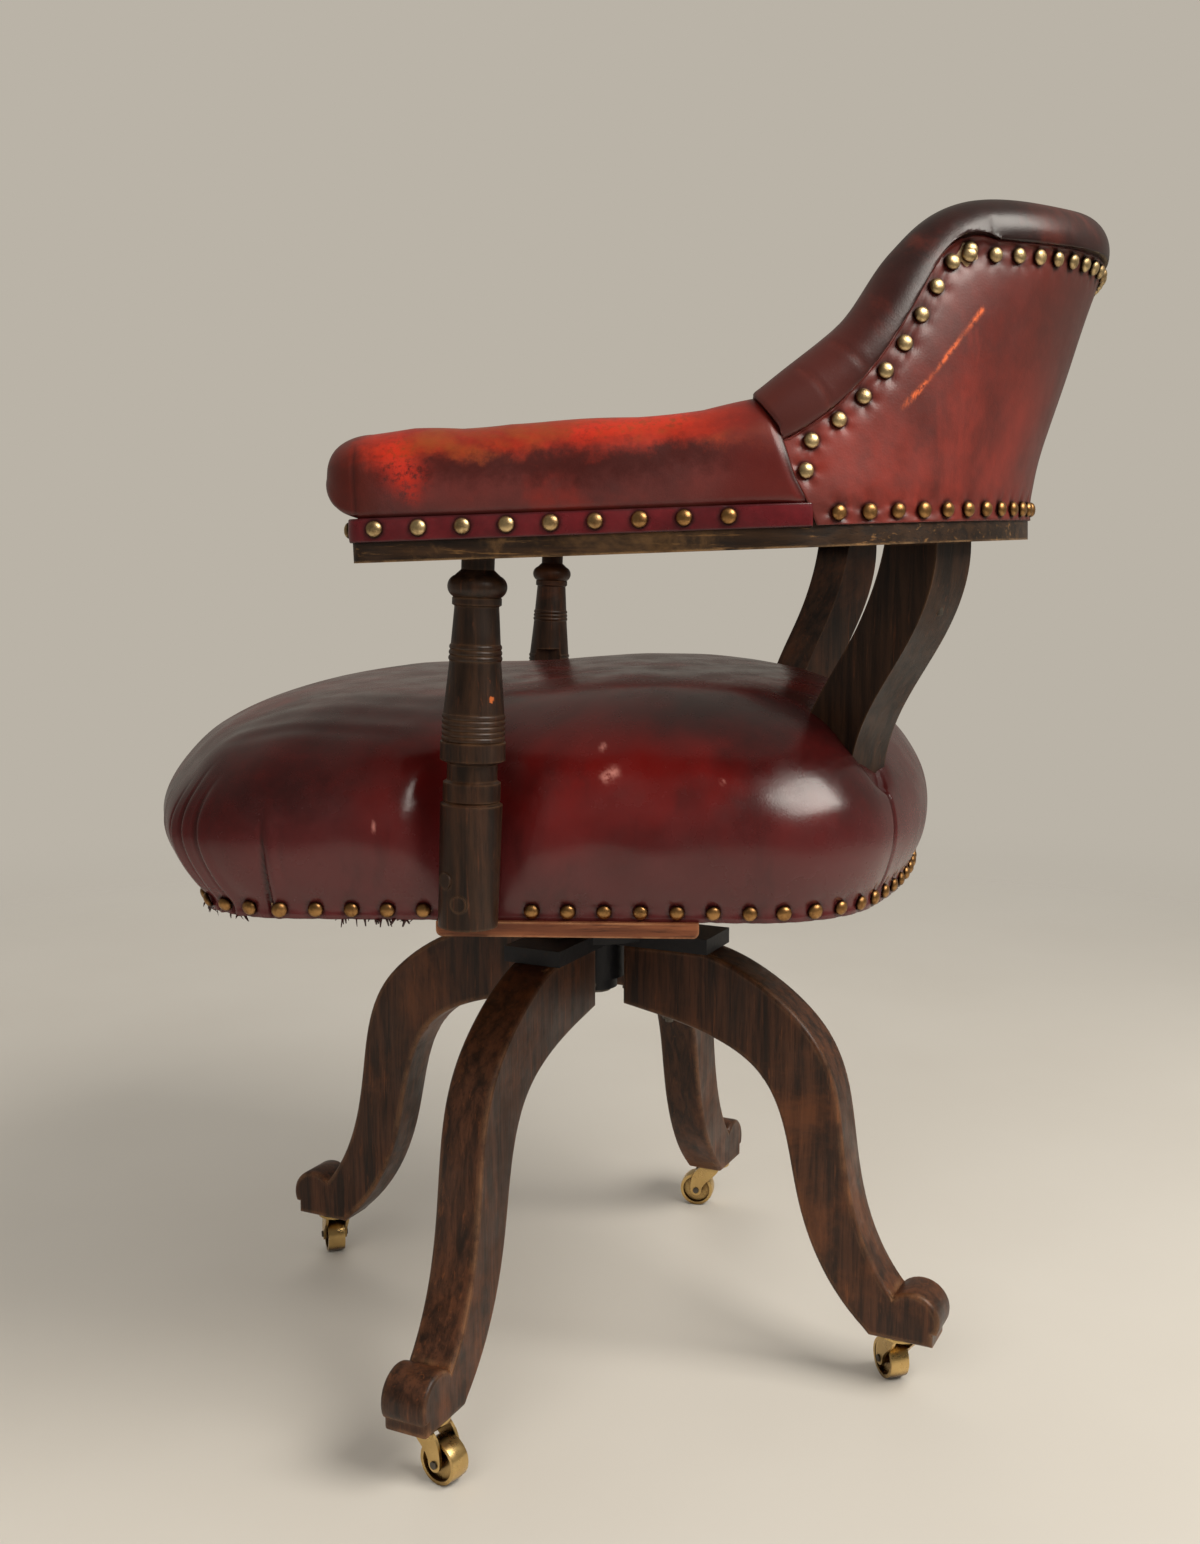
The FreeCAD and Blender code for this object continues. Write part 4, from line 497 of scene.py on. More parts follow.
def make_world():
    """Even light from all round. The camera and all reflections see a plain wall instead."""
    world = bpy.data.worlds.new("studio")
    bpy.context.scene.world = world
    world.use_nodes = True
    graph = Graph(world.node_tree)
    ambient = graph.tree.nodes["Background"]
    ambient.inputs["Color"].default_value = AMBIENT
    ambient.inputs["Strength"].default_value = AMBIENT_STRENGTH
    path = graph.node("LightPath").outputs
    split = graph.node("SeparateXYZ")
    graph.feed(split.inputs[0], graph.node("TexCoord").outputs["Generated"])
    room = graph.node("MapRange")
    for name, value in zip(("Value", "From Min", "From Max", "To Min", "To Max"),
                           (split.outputs["X"], -0.3, 0.5, FAR_ROOM, NEAR_ROOM)):
        graph.feed(room.inputs[name], value)
    wall = graph.node("Background")
    wall.inputs["Color"].default_value = WALL_COLOUR
    brightness = graph.math("MAXIMUM", path["Is Camera Ray"], room.outputs["Result"])
    graph.feed(wall.inputs["Strength"], brightness)
    direct = graph.math("MAXIMUM", path["Is Camera Ray"], path["Is Glossy Ray"])
    direct = graph.math("MAXIMUM", direct, path["Is Transmission Ray"])
    blend = graph.node("MixShader")
    graph.feed(blend.inputs[0], direct)
    graph.feed(blend.inputs[1], ambient.outputs[0])
    graph.feed(blend.inputs[2], wall.outputs[0])
    graph.feed(graph.tree.nodes["World Output"].inputs["Surface"], blend.outputs[0])


def softbox(name, place, size, power, mirrored_in_gloss=True):
    data = bpy.data.lights.new(name, "AREA")
    data.shape = "RECTANGLE"
    data.size, data.size_y = size
    data.energy = power
    data.color = DAYLIGHT
    lamp = bpy.data.objects.new(name, data)
    lamp.location = place
    lamp.rotation_mode = "QUATERNION"
    lamp.rotation_quaternion = (LAMP_TARGET - Vector(place)).to_track_quat("-Z", "Y")
    lamp.visible_glossy = mirrored_in_gloss
    bpy.context.scene.collection.objects.link(lamp)


def make_light():
    softbox("window", place=(1.00, 1.60, 2.15), size=(1.7, 1.1), power=66)
    softbox("room", place=(2.3, -0.9, 1.9), size=(2.0, 1.6), power=24, mirrored_in_gloss=False)
    softbox("rear", place=(-1.9, -0.6, 2.0), size=(1.4, 1.4), power=12, mirrored_in_gloss=False)
    bpy.context.scene.view_settings.view_transform = "Standard"


# Materials

# Colour of the painted shade in seams, creases, pleats and round the nails; the frayed threads take it too
CREASE_SHADE = srgb(24, 9, 8)


def leather(name, colour_of, worn, roughness, coat=0.12):
    """Waxed hide: fine grain, painted shade in the creases, worn to another colour where the mesh says so.
    """
    paint = Paint(name, roughness)
    colour = colour_of(paint)
    ragged = paint.between(paint.noise(240, 5, 0.7), 0.34, 0.56)
    colour = paint.mix(paint.math("MULTIPLY", paint.kept("rub"), ragged), colour, worn)
    # Mixed in by the cavity number that the mesh keeps: painted shade in seams, creases, pleats and round
    # the nails; the frayed threads are darkened all over with it too
    colour = paint.mix(paint.kept("cavity"), colour, CREASE_SHADE)
    gloss = paint.between(paint.noise(26, 5, 0.6), 0.3, 0.7, roughness - 0.06, roughness + 0.08)
    pores = paint.math("ADD", paint.cells(820), paint.math("MULTIPLY", paint.noise(1900, 3, 0.6), 0.6))
    grain = paint.bump(pores, 0.12, 0.0003)
    paint.set(Base_Color=colour, Roughness=gloss, Specular_IOR_Level=0.42,
              Normal=paint.bump(paint.noise(110, 4, 0.55, 0.6), 0.07, 0.0010, grain),
              Coat_Weight=coat, Coat_Roughness=0.14)
    return paint.material


def cloudy(paint, dark, mid, scale=8.0, fine=0.35):
    """Two colours in broad clouds with fine specks."""
    cloud = paint.between(paint.noise(scale, 5, 0.6), 0.36, 0.64)
    speck = paint.between(paint.noise(scale * 9, 6, 0.7), 0.35, 0.75)
    share = paint.math("ADD", paint.math("MULTIPLY", cloud, 1 - fine), paint.math("MULTIPLY", speck, fine))
    return paint.mix(share, dark, mid)


def seat_leather():
    def colour_of(paint):
        colour = cloudy(paint, srgb(42, 10, 10), srgb(70, 14, 13))
        bright = paint.between(paint.noise(5.5, 4, 0.6, 0.4), 0.47, 0.66, 0.0, 0.75)
        colour = paint.mix(bright, colour, srgb(106, 16, 14))
        uneven = paint.math("ADD", offset(paint, 16, 0.03), offset(paint, 6, 0.09))
        low = paint.math("ADD", paint.axis("Z"), uneven)
        # Painted reflection of the pale floor: the low flank of the seat turns purple grey
        floor_sheen = paint.between(low, SEAT_FOOT + 0.085, SEAT_FOOT + 0.025, 0.0, 0.8)
        colour = paint.mix(floor_sheen, colour, srgb(90, 36, 37))
        streak = paint.noise(1, 4, 0.6, 0.2, paint.place((30, 30, 4)))
        flank = paint.between(paint.axis("Z"), SEAT_FOOT + 0.115, SEAT_FOOT + 0.095)
        streak = paint.math("MULTIPLY", paint.between(streak, 0.56, 0.70, 0.0, 0.35), flank)
        return paint.mix(streak, colour, srgb(52, 18, 18))
    return leather("leather_seat_oxblood", colour_of, srgb(186, 120, 110), 0.24)


def bow_level(paint):
    """Height over the bow's underside."""
    rise = paint.math("MULTIPLY", paint.axis("Y"), math.tan(BOW_TILT))
    return paint.math("SUBTRACT", paint.math("SUBTRACT", paint.axis("Z"), rise), BOW_HEIGHT)


def offset(paint, scale, reach):
    """Noise about zero, for ragged borders."""
    return paint.math("MULTIPLY", paint.math("SUBTRACT", paint.noise(scale, 6.0, 0.7), 0.5), reach)


def arm_leather():
    """Orange red where the sitter's arm has rubbed the top, a dark mottled border, wine red sides."""
    def colour_of(paint):
        side = cloudy(paint, srgb(78, 36, 34), srgb(106, 44, 40), 10)
        red = paint.between(paint.noise(11, 5, 0.65), 0.54, 0.68, 0.0, 0.6)
        side = paint.mix(red, side, srgb(134, 36, 26))
        ragged = paint.math("ADD", offset(paint, 18, 0.030), offset(paint, 95, 0.022))
        level = paint.math("ADD", bow_level(paint), ragged)
        colour = paint.mix(paint.between(level, 0.036, 0.055, 0.0, 0.95), side, srgb(62, 13, 8))
        top = cloudy(paint, srgb(124, 27, 12), srgb(166, 40, 17), 14, 0.5)
        olive = paint.between(paint.noise(10, 5, 0.6, 0.3), 0.50, 0.64, 0.0, 0.65)
        top = paint.mix(olive, top, srgb(136, 66, 22))
        colour = paint.mix(paint.between(level, 0.054, 0.067), colour, top)
        along = paint.math("ADD", paint.axis("Y"), offset(paint, 20, 0.06))
        rear = paint.between(along, 0.075, 0.115, 0.0, 0.8)
        colour = paint.mix(rear, colour, srgb(92, 26, 22))
        nose = paint.between(along, -0.110, -0.130, 0.0, 0.8)
        return paint.mix(nose, colour, srgb(78, 24, 16))
    return leather("leather_arm_rubbed", colour_of, srgb(186, 38, 16), 0.38)


def band_leather():
    def colour_of(paint):
        colour = cloudy(paint, srgb(76, 16, 22), srgb(102, 24, 30), 22)
        edge = paint.math("ABSOLUTE", paint.math("SUBTRACT", bow_level(paint), 0.0187))
        return paint.mix(paint.between(edge, 0.0054, 0.0068, 0.0, 0.75), colour, srgb(46, 9, 14))
    return leather("leather_band_crimson", colour_of, srgb(160, 84, 80), 0.30)


def panel_leather():
    def colour_of(paint):
        colour = cloudy(paint, srgb(80, 32, 27), srgb(112, 40, 32), 7)
        red = paint.between(paint.noise(9, 6, 0.62, 0.3), 0.44, 0.70, 0.0, 0.70)
        front = paint.between(paint.axis("Y"), 0.31, 0.24, 0.15, 1.0)
        red = paint.math("MULTIPLY", red, front)
        low = paint.between(bow_level(paint), 0.150, 0.070, 0.25, 1.0)
        colour = paint.mix(paint.math("MULTIPLY", red, low), colour, srgb(150, 50, 38))
        drag = paint.between(paint.noise(1, 5, 0.6, 0.2, paint.place((26, 26, 7))), 0.58, 0.70, 0.0, 0.30)
        colour = paint.mix(drag, colour, srgb(154, 54, 42))
        along = paint.math("ADD", paint.axis("Y"), offset(paint, 12, 0.05))
        # Painted shade: the panel darker towards the middle of the rear
        rear = paint.between(along, 0.26, 0.33, 0.0, 0.65)
        return paint.mix(rear, colour, srgb(66, 34, 28))
    return leather("leather_panel_rubbed", colour_of, srgb(226, 104, 52), 0.40, 0.06)


def roll_leather():
    def colour_of(paint):
        colour = cloudy(paint, srgb(28, 12, 11), srgb(50, 20, 17), 9)
        along = paint.math("ADD", paint.axis("Y"), offset(paint, 14, 0.05))
        front = paint.between(along, 0.20, 0.15, 0.0, 0.8)
        colour = paint.mix(front, colour, srgb(84, 36, 31))
        crest = paint.between(paint.noise(9, 7, 0.7, 0.4), 0.50, 0.66, 0.0, 0.7)
        return paint.mix(crest, colour, srgb(92, 36, 26))
    return leather("leather_roll_dark", colour_of, srgb(120, 50, 38), 0.36, 0.06)


WAXED = 0.42
PORE_COLOUR = srgb(16, 10, 8)
BARE_EDGE = srgb(180, 146, 106)
# Chips in the near post's dark finish, and the wood that shows in them
POST_CHIPS = [(0.311, -0.045, 0.555), (0.311, -0.045, 0.543)]
CHIP_COLOUR = srgb(188, 96, 44)


def chipped(paint, colour, chip):
    """The same colour with the bare wood of a ragged chip at one place."""
    gap = paint.node("VectorMath", operation="DISTANCE")
    paint.feed(gap.inputs[0], paint.place())
    gap.inputs[1].default_value = chip
    broken = paint.math("ADD", gap.outputs["Value"], offset(paint, 260, 0.006))
    return paint.mix(paint.between(broken, 0.0040, 0.0030), colour, CHIP_COLOUR)


def worn_rim(paint, amount, rounding, joint=None):
    """Share of wear along sharp edges, left out at a joint of two boards."""
    edge = paint.node("Bevel", samples=4)
    edge.inputs["Radius"].default_value = rounding
    facing = paint.node("VectorMath", operation="DOT_PRODUCT")
    paint.feed(facing.inputs[0], edge.outputs[0])
    paint.feed(facing.inputs[1], paint.node("NewGeometry").outputs["Normal"])
    rim = paint.between(facing.outputs["Value"], 0.990, 0.90)
    if joint is not None:
        beside = paint.math("ABSOLUTE", paint.math("SUBTRACT", paint.axis("Y"), joint))
        rim = paint.math("MULTIPLY", rim, paint.between(beside, 0.002, 0.006))
    ragged = paint.between(paint.noise(38, 6, 0.7), 0.38, 0.60, 0.15 * amount, amount)
    return paint.math("MULTIPLY", rim, ragged)


def wood(name, dark, mid, worn, turn=(0, 0, 0), along="Z", wear=0.35, edge_wear=0.8, joint=None,
         rounding=0.0025, chips=()):
    """Dark waxed oak with its grain along one axis, rubbed lighter in patches and along edges."""
    paint = Paint(name, WAXED)
    stretch = {"X": (9, 130, 130), "Y": (130, 9, 130), "Z": (130, 130, 9)}[along]

    def fibres(finer, detail, roughness, distortion):
        place = paint.place(tuple(finer * size for size in stretch), turn)
        return paint.noise(1.0, detail, roughness, distortion, place)
    fibre = fibres(1, 8, 0.62, 0.5)
    pores = paint.between(fibres(5, 4, 0.6, 0.0), 0.28, 0.50)
    colour = paint.mix(paint.between(fibre, 0.32, 0.68), dark, mid)
    colour = paint.mix(pores, paint.mix(0.55, colour, PORE_COLOUR), colour)
    patch = paint.between(paint.noise(8, 7, 0.70, 0.5), 0.50, 0.68, 0.0, wear)
    colour = paint.mix(patch, colour, worn)
    colour = paint.mix(paint.between(fibres(2.2, 5, 0.70, 0.3), 0.58, 0.68, 0.0, wear), colour, worn)
    soot = paint.between(paint.noise(10, 6, 0.68), 0.52, 0.72, 0.0, 0.55)
    colour = paint.mix(soot, colour, dark)
    for chip in chips:
        colour = chipped(paint, colour, chip)
    rim = worn_rim(paint, edge_wear, rounding, joint)
    colour = paint.mix(rim, colour, paint.mix(0.4, worn, BARE_EDGE))
    gloss = paint.between(paint.noise(30, 5, 0.6), 0.3, 0.7, WAXED - 0.08, WAXED + 0.14)
    normal = paint.bump(fibre, 0.25, 0.0006)
    paint.set(Base_Color=colour, Roughness=gloss, Normal=paint.bump(pores, 0.20, 0.0003, normal),
              Coat_Weight=0.06, Coat_Roughness=0.25, Specular_IOR_Level=0.32)
    return paint.material


def steel():
    paint = Paint("steel_dull", 0.46, 1.0)
    dirt_and_shade = paint.between(paint.noise(60, 6, 0.7), 0.42, 0.68, 0.0, 0.5)
    colour = paint.mix(dirt_and_shade, srgb(112, 106, 98), srgb(66, 58, 50))
    paint.set(Base_Color=paint.mix(paint.kept("cavity"), colour, srgb(66, 44, 26)),
              Roughness=paint.between(paint.noise(120, 4, 0.6), 0.3, 0.7, 0.40, 0.62),
              Normal=paint.bump(paint.noise(360, 3), 0.08, 0.0003))
    return paint.material


def nail_brass():
    """Pale where it is handled, antique brown on the seat and low on the back."""
    paint = Paint("brass_nail", 0.36, 1.0)
    low = paint.between(bow_level(paint), 0.034, 0.028)
    rear = paint.between(paint.axis("Y"), -0.06, 0.06)
    seat = paint.between(paint.axis("Z"), 0.52, 0.50)
    aged = paint.math("MAXIMUM", paint.math("MULTIPLY", low, rear), seat)
    colour = paint.mix(aged, srgb(214, 188, 140), srgb(170, 128, 80))
    dirt_and_shade = paint.between(paint.noise(150, 6, 0.7), 0.42, 0.68, 0.0, 0.65)
    colour = paint.mix(dirt_and_shade, colour, srgb(104, 68, 38))
    colour = paint.mix(paint.kept("cavity"), colour, srgb(48, 30, 18))
    paint.set(Base_Color=colour, Roughness=paint.between(paint.noise(300, 4, 0.6), 0.3, 0.7, 0.32, 0.50))
    return paint.material


def brass():
    """Polished brass that has darkened in its recesses."""
    paint = Paint("brass_caster", 0.26, 1.0)
    hollow = paint.node("AmbientOcclusion", samples=6)
    hollow.inputs["Distance"].default_value = 0.012
    recess = paint.between(hollow.outputs["AO"], 0.85, 0.45, 0.0, 0.92)
    cloud = paint.between(paint.noise(45, 4, 0.6), 0.40, 0.70, 0.0, 0.35)
    colour = paint.mix(cloud, srgb(214, 182, 122), srgb(176, 138, 84))
    colour = paint.mix(recess, colour, srgb(70, 44, 24))
    paint.set(Base_Color=colour, Roughness=paint.between(paint.noise(120, 4, 0.6), 0.3, 0.7, 0.24, 0.36))
    return paint.material


def iron():
    paint = Paint("iron_black", 0.55, 0.3)
    rust = paint.between(paint.noise(70, 6, 0.7), 0.55, 0.75, 0.0, 0.5)
    paint.set(Base_Color=paint.mix(rust, srgb(34, 34, 38), srgb(62, 44, 36)),
              Normal=paint.bump(paint.noise(260, 5, 0.6), 0.5, 0.0006))
    return paint.material


def cloth(name, light, dark):
    paint = Paint(name, 0.9)
    threads = paint.math("MULTIPLY", paint.noise(1, 2, 0.5, 0, paint.place((900, 60, 60))),
                         paint.noise(1, 2, 0.5, 0, paint.place((60, 900, 60))))
    weave = paint.between(threads, 0.15, 0.35)
    paint.set(Base_Color=paint.mix(weave, dark, light), Normal=paint.bump(weave, 0.6, 0.0006))
    return paint.material


def make_materials():
    """Material of each slot of the record."""
    return {
        "oak_posts": wood("oak_posts", srgb(25, 15, 9), srgb(54, 34, 21), srgb(116, 64, 34), wear=0.26,
                          edge_wear=0.22, chips=POST_CHIPS),
        "oak_bow": wood("oak_bow", srgb(28, 18, 11), srgb(56, 37, 22), srgb(136, 98, 56), along="Y",
                        wear=0.60, joint=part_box("arm_rail_left")[1].y),
        "oak_board": wood("oak_board", srgb(96, 52, 32), srgb(136, 80, 50), srgb(170, 112, 74), along="Y"),
        "beech_frame": wood("beech_frame", srgb(150, 116, 80), srgb(182, 148, 106), srgb(196, 166, 124),
                            along="X"),
        "iron": iron(),
        "steel": steel(),
        "caster_brass": brass(),
        "nail_brass": nail_brass(),
        "leather_seat": seat_leather(),
        "leather_arms": arm_leather(),
        "leather_band": band_leather(),
        "leather_panel": panel_leather(),
        "leather_roll": roll_leather(),
        "jute": cloth("jute_webbing", srgb(150, 122, 84), srgb(84, 64, 42)),
        "hair": cloth("hair_stuffing", srgb(90, 70, 50), srgb(40, 30, 22)),
    }


# Directions of the four legs in degrees
BASE_AZIMUTHS = {"left": -23.4, "rear": 66.6, "right": 156.6, "front": 246.6}


def dress_frame(materials):
    """Materials of the CAD nodes. Each leg has its own grain direction."""
    slots = {row["node"]: row["material_slot"] for row in frame["record"]["subparts"]}
    for name, obj in nodes.items():
        if slots[name] == "oak_legs":
            azimuth = BASE_AZIMUTHS[name.split("_")[1]]
            ease_leg(obj, math.radians(azimuth))
            material = wood("oak_" + name, srgb(34, 21, 14), srgb(82, 49, 31), srgb(134, 76, 40),
                            turn=(0, 0, math.radians(-azimuth)), rounding=0.0060)
        else:
            material = materials[slots[name]]
        obj.data.materials.clear()
        obj.data.materials.append(material)


# The arrises of the sawn legs, rounded as years of use have

LEG_ROUNDING = 0.0034
WELD_GAP = 0.00002
FLAT_ANGLE = math.radians(0.5)
# How far inside a leg's flat side a vertex may lie and still belong to it
SIDE_TOLERANCE = 0.0003


def ease_leg(leg, azimuth):
    """Round the long edges of a leg's two flat sides."""
    across = vertices(leg)[:, :2] @ (-math.sin(azimuth), math.cos(azimuth))
    face = np.abs(across).max() - SIDE_TOLERANCE
    weld = leg.modifiers.new("weld", "WELD")
    weld.merge_threshold = WELD_GAP
    plane = leg.modifiers.new("plane", "DECIMATE")
    plane.decimate_type = "DISSOLVE"
    plane.angle_limit = FLAT_ANGLE
    for turn, label in ((1, "arris_one"), (-1, "arris_two")):
        group = leg.vertex_groups.new(name=label)
        group.add([int(i) for i in np.where(across * turn > face)[0]], 1.0, "REPLACE")
        bevel = leg.modifiers.new(label, "BEVEL")
        bevel.limit_method = "VGROUP"
        bevel.vertex_group = label
        bevel.width = LEG_ROUNDING
        bevel.segments = 4
        bevel.use_clamp_overlap = False
        bevel.harden_normals = True


# Brass nails

NAIL_RADIUS = 0.00475
NAIL_SIDES = 20
# Rings of a dome from its underside up: radius and height over the hide
NAIL_PROFILE = [(0.0049, -0.0008), (0.0049, 0.0002), (0.0046, 0.0011), (0.0038, 0.0020), (0.0026, 0.0027),
                (0.0013, 0.0030)]
NAIL_TOP = 0.0031
# Dirt on each ring
NAIL_DIRT = [1.0, 0.9, 0.35, 0.0, 0.0, 0.0]
# Spread of the direction, size and surface from nail to nail
NAIL_TILT = 0.05
NAIL_SPREAD = 0.02
NAIL_DENT = 0.00006
RAY_START = 0.02
RAY_REACH = 0.05


def loose_parts(obj):
    """Points of each separate solid of a node."""
    points = vertices(obj)
    places = {}
    labels = np.empty(len(points), int)
    for i, key in enumerate(map(tuple, np.round(points, 6))):
        labels[i] = places.setdefault(key, len(places))
    parent = list(range(len(places)))

    def root(i):
        """First vertex of the solid that a vertex belongs to."""
        while parent[i] != i:
            parent[i] = parent[parent[i]]
            i = parent[i]
        return i
    for edge in obj.data.edges:
        a, b = (root(labels[v]) for v in edge.vertices)
        parent[a] = b
    groups = {}
    for key, label in places.items():
        groups.setdefault(root(label), []).append(key)
    return [np.array(group) for group in groups.values()]


def nail_places(node):
    """Middle of each nail of a node, and the way its head points."""
    places = []
    for part in loose_parts(nodes[node]):
        middle = (part.min(axis=0) + part.max(axis=0)) / 2
        sizes, axes = np.linalg.svd(part - part.mean(axis=0))[1:]
        axis = axes[0] if sizes[0] - sizes[1] > sizes[1] - sizes[2] else axes[2]
        head = part[np.linalg.norm(np.cross(part - part.mean(axis=0), axis), axis=1) > NAIL_RADIUS * 0.8]
        if (head.mean(axis=0) - middle) @ axis < 0:
            axis = -axis
        places.append((middle, axis))
    return places


def tree_of(obj):
    return BVHTree.FromPolygons([tuple(v.co) for v in obj.data.vertices],
                                [tuple(face.vertices) for face in obj.data.polygons])


def on_hide(trees, middle, axis):
    """Where a nail's axis meets the nearest hide, and the hide's outward direction there."""
    start = Vector(middle + axis * RAY_START)
    hits = [tree.ray_cast(start, Vector(-axis), RAY_REACH) for tree in trees]
    hits = [hit for hit in hits if hit[0] is not None]
    place, normal = min(hits, key=lambda hit: hit[3])[:2]
    return place, normal if normal.dot(Vector(axis)) > 0 else -normal


def dome_faces():
    """Faces of one nail: its rings, its top and its closed underside."""
    last = (len(NAIL_PROFILE) - 1) * NAIL_SIDES
    pairs = [(side, (side + 1) % NAIL_SIDES) for side in range(NAIL_SIDES)]
    faces = []
    for low in range(0, last, NAIL_SIDES):
        high = low + NAIL_SIDES
        faces += [(low + a, low + b, high + b, high + a) for a, b in pairs]
    faces += [(last + a, last + b, last + NAIL_SIDES) for a, b in pairs]
    return faces + [tuple(reversed(range(NAIL_SIDES)))]


def drive_nails(name, wanted, hides, materials, stands_for):
    """Domes on the hides at those places, each a little askew. Returns their places and directions."""
    trees = [tree_of(hide) for hide in hides]
    random = np.random.default_rng(len(wanted))
    angles = np.linspace(0, 2 * math.pi, NAIL_SIDES, endpoint=False)
    radius, height = np.array(NAIL_PROFILE).T[:, :, None]
    points = []
    faces = []
    places = []
    for middle, axis in wanted:
        spot, normal = on_hide(trees, middle, axis)
        normal = (normal + Vector(random.normal(0, NAIL_TILT, 3))).normalized()
        places.append((np.array(spot), np.array(normal)))
        size = 1 + random.normal(0, NAIL_SPREAD)
        dents = random.normal(0, NAIL_DENT, (len(NAIL_PROFILE), NAIL_SIDES))
        rings = np.stack([radius * np.cos(angles), radius * np.sin(angles), height + dents], axis=-1)
        dome = np.vstack([rings.reshape(-1, 3) * size, (0, 0, NAIL_TOP)])
        turn = np.array(normal.to_track_quat("Z", "Y").to_matrix())
        faces += [tuple(len(points) + corner for corner in face) for face in dome_faces()]
        points += (dome @ turn.T + np.array(spot)).tolist()
    made = add_mesh(name, points, faces)
    shade(made, np.tile(np.append(np.repeat(NAIL_DIRT, NAIL_SIDES), 0), len(wanted)))
    finished(made, materials, "nail_brass", [stands_for])
    return places


PUCKER_FOLDS = 5


def pucker(obj, places, depth, reach):
    """Pull the hide in under each nail, with small folds round it and painted shade round the edge of its
    head.
    """
    points = vertices(obj)
    shift = np.zeros(points.shape)
    dirt_and_shade = np.zeros(len(points))
    for number, (place, normal) in enumerate(places):
        gap = points - place
        far = np.linalg.norm(gap, axis=1)
        near = far < 4 * reach
        side = np.cross(normal, (0.3, 0.1, 0.9))
        side /= np.linalg.norm(side)
        angle = np.arctan2(gap[near] @ np.cross(normal, side), gap[near] @ side)
        fold = 1 + 0.5 * np.cos(PUCKER_FOLDS * angle + number * 1.7) * step_up(far[near], 0.003, 0.007)
        shift[near] -= (depth * hill(far[near], reach) * fold)[:, None] * normal
        # Painted shade in a ring round the edge of the nail's head
        dirt_and_shade[near] = np.maximum(dirt_and_shade[near], 0.75 * hill(far[near] - 0.0050, 0.0013))
    set_vertices(obj, points + shift)
    shade(obj, dirt_and_shade)


# Seat cover

# Rows over the outside, how many of them lie on the lower part of the profile, and that part's share
SEAT_ROWS = 92
FLANK_ROWS = 58
FLANK_SHARE = 0.40
# Points of the finer profile that keep the shape of the hem, and how often the rest is evened out
HEM_POINTS = 12
RELAXING = 90
# Distance of the columns, on the plain sides and where the hide is pleated: beyond this x and this y
SEAT_COLUMN = 0.0024
PLEAT_COLUMN = 0.0011
PLEATED_BEYOND = (0.17, -0.165)


def end_arcs(half, end, corner, bow, inset=0.0):
    """Points from the end of a side round its corner to the middle of a bowed end, with their normals."""
    centre = end - bow
    corner_y = centre + math.sqrt((bow - corner) ** 2 - (half - corner) ** 2)
    turn = math.atan2(corner_y - centre, half - corner)
    first = np.linspace(0, turn, 60)
    second = np.linspace(turn, math.pi / 2, 60)[1:]
    a = np.column_stack([half - corner + (corner - inset) * np.cos(first),
                         corner_y + (corner - inset) * np.sin(first)])
    b = np.column_stack([(bow - inset) * np.cos(second), centre + (bow - inset) * np.sin(second)])
    angles = np.concatenate([first, second])
    return np.vstack([a, b]), np.column_stack([np.cos(angles), np.sin(angles)])


def seat_ring():
    """Outline of the seat frame with its normals, denser where the hide is pleated."""
    rear, rear_out = end_arcs(SEAT_HALF, SEAT_REAR, SEAT_REAR_CORNER, SEAT_REAR_BOW)
    front, front_out = end_arcs(SEAT_HALF, -SEAT_FRONT, SEAT_FRONT_CORNER, SEAT_FRONT_BOW)
    flip = np.array([1, -1])
    half = np.vstack([(front * flip)[::-1], rear])
    out = np.vstack([(front_out * flip)[::-1], rear_out])
    other = np.array([-1, 1])
    points = np.vstack([half, (half * other)[::-1][1:]])
    normals = np.vstack([out, (out * other)[::-1][1:]])
    reach = lengths(points)
    corner = (np.abs(points[:, 0]) > PLEATED_BEYOND[0]) & (points[:, 1] < PLEATED_BEYOND[1])
    spacing = np.where(corner, PLEAT_COLUMN, SEAT_COLUMN)
    count = np.concatenate([[0], np.cumsum(np.diff(reach) / ((spacing[1:] + spacing[:-1]) / 2))])
    wanted = np.linspace(0, count[-1], round(count[-1]), endpoint=False)
    along = np.interp(wanted, count, reach)
    ring = at_lengths(points, reach, along)
    out = at_lengths(normals, reach, along)
    return ring, out / np.linalg.norm(out, axis=1)[:, None]


def seat_rows(ring, profile):
    """Rows of the cover: scaled copies of the outline."""
    middle = np.array([0, SEAT_MIDDLE])
    front = step_up(-ring[:, 1], -0.02, 0.20)
    rows = []
    for height, swell, forward in profile:
        share = (SEAT_HALF + swell) / SEAT_HALF
        row = middle + (ring - middle) * share
        puff = SEAT_FRONT_PUFF * hill(height - 0.055, 0.035)
        row[:, 1] -= forward + puff * front
        rows.append(np.column_stack([row, np.full(len(row), SEAT_FOOT + height)]))
    return rows


# Pleats of the front corners: direction of the outline there in degrees, top of the pleat over the frame,
# and 1 for one that stands upright
PLEATS = [(-8, 0.082, 1), (-32, 0.094, 0), (-46, 0.100, 0), (-58, 0.090, 0), (-71, 0.082, 0),
          (-83, 0.060, 0)]
PLEAT_DEPTH = 0.0034
POST_SIDE = 0.2955
POST_FOOT_Y = -0.0643
POST_LEAN = math.radians(2.2)
POST_TRUNK = 0.0192
POST_CLEARANCE = 0.0006
# How far the hide is drawn in beside a post, the height over the frame where it is most, and how far that
# reaches up and down and along the chair
POST_DRAW = 0.017
POST_DRAW_LEVEL = 0.070
POST_DRAW_HEIGHT = 0.042
POST_DRAW_LENGTH = 0.030


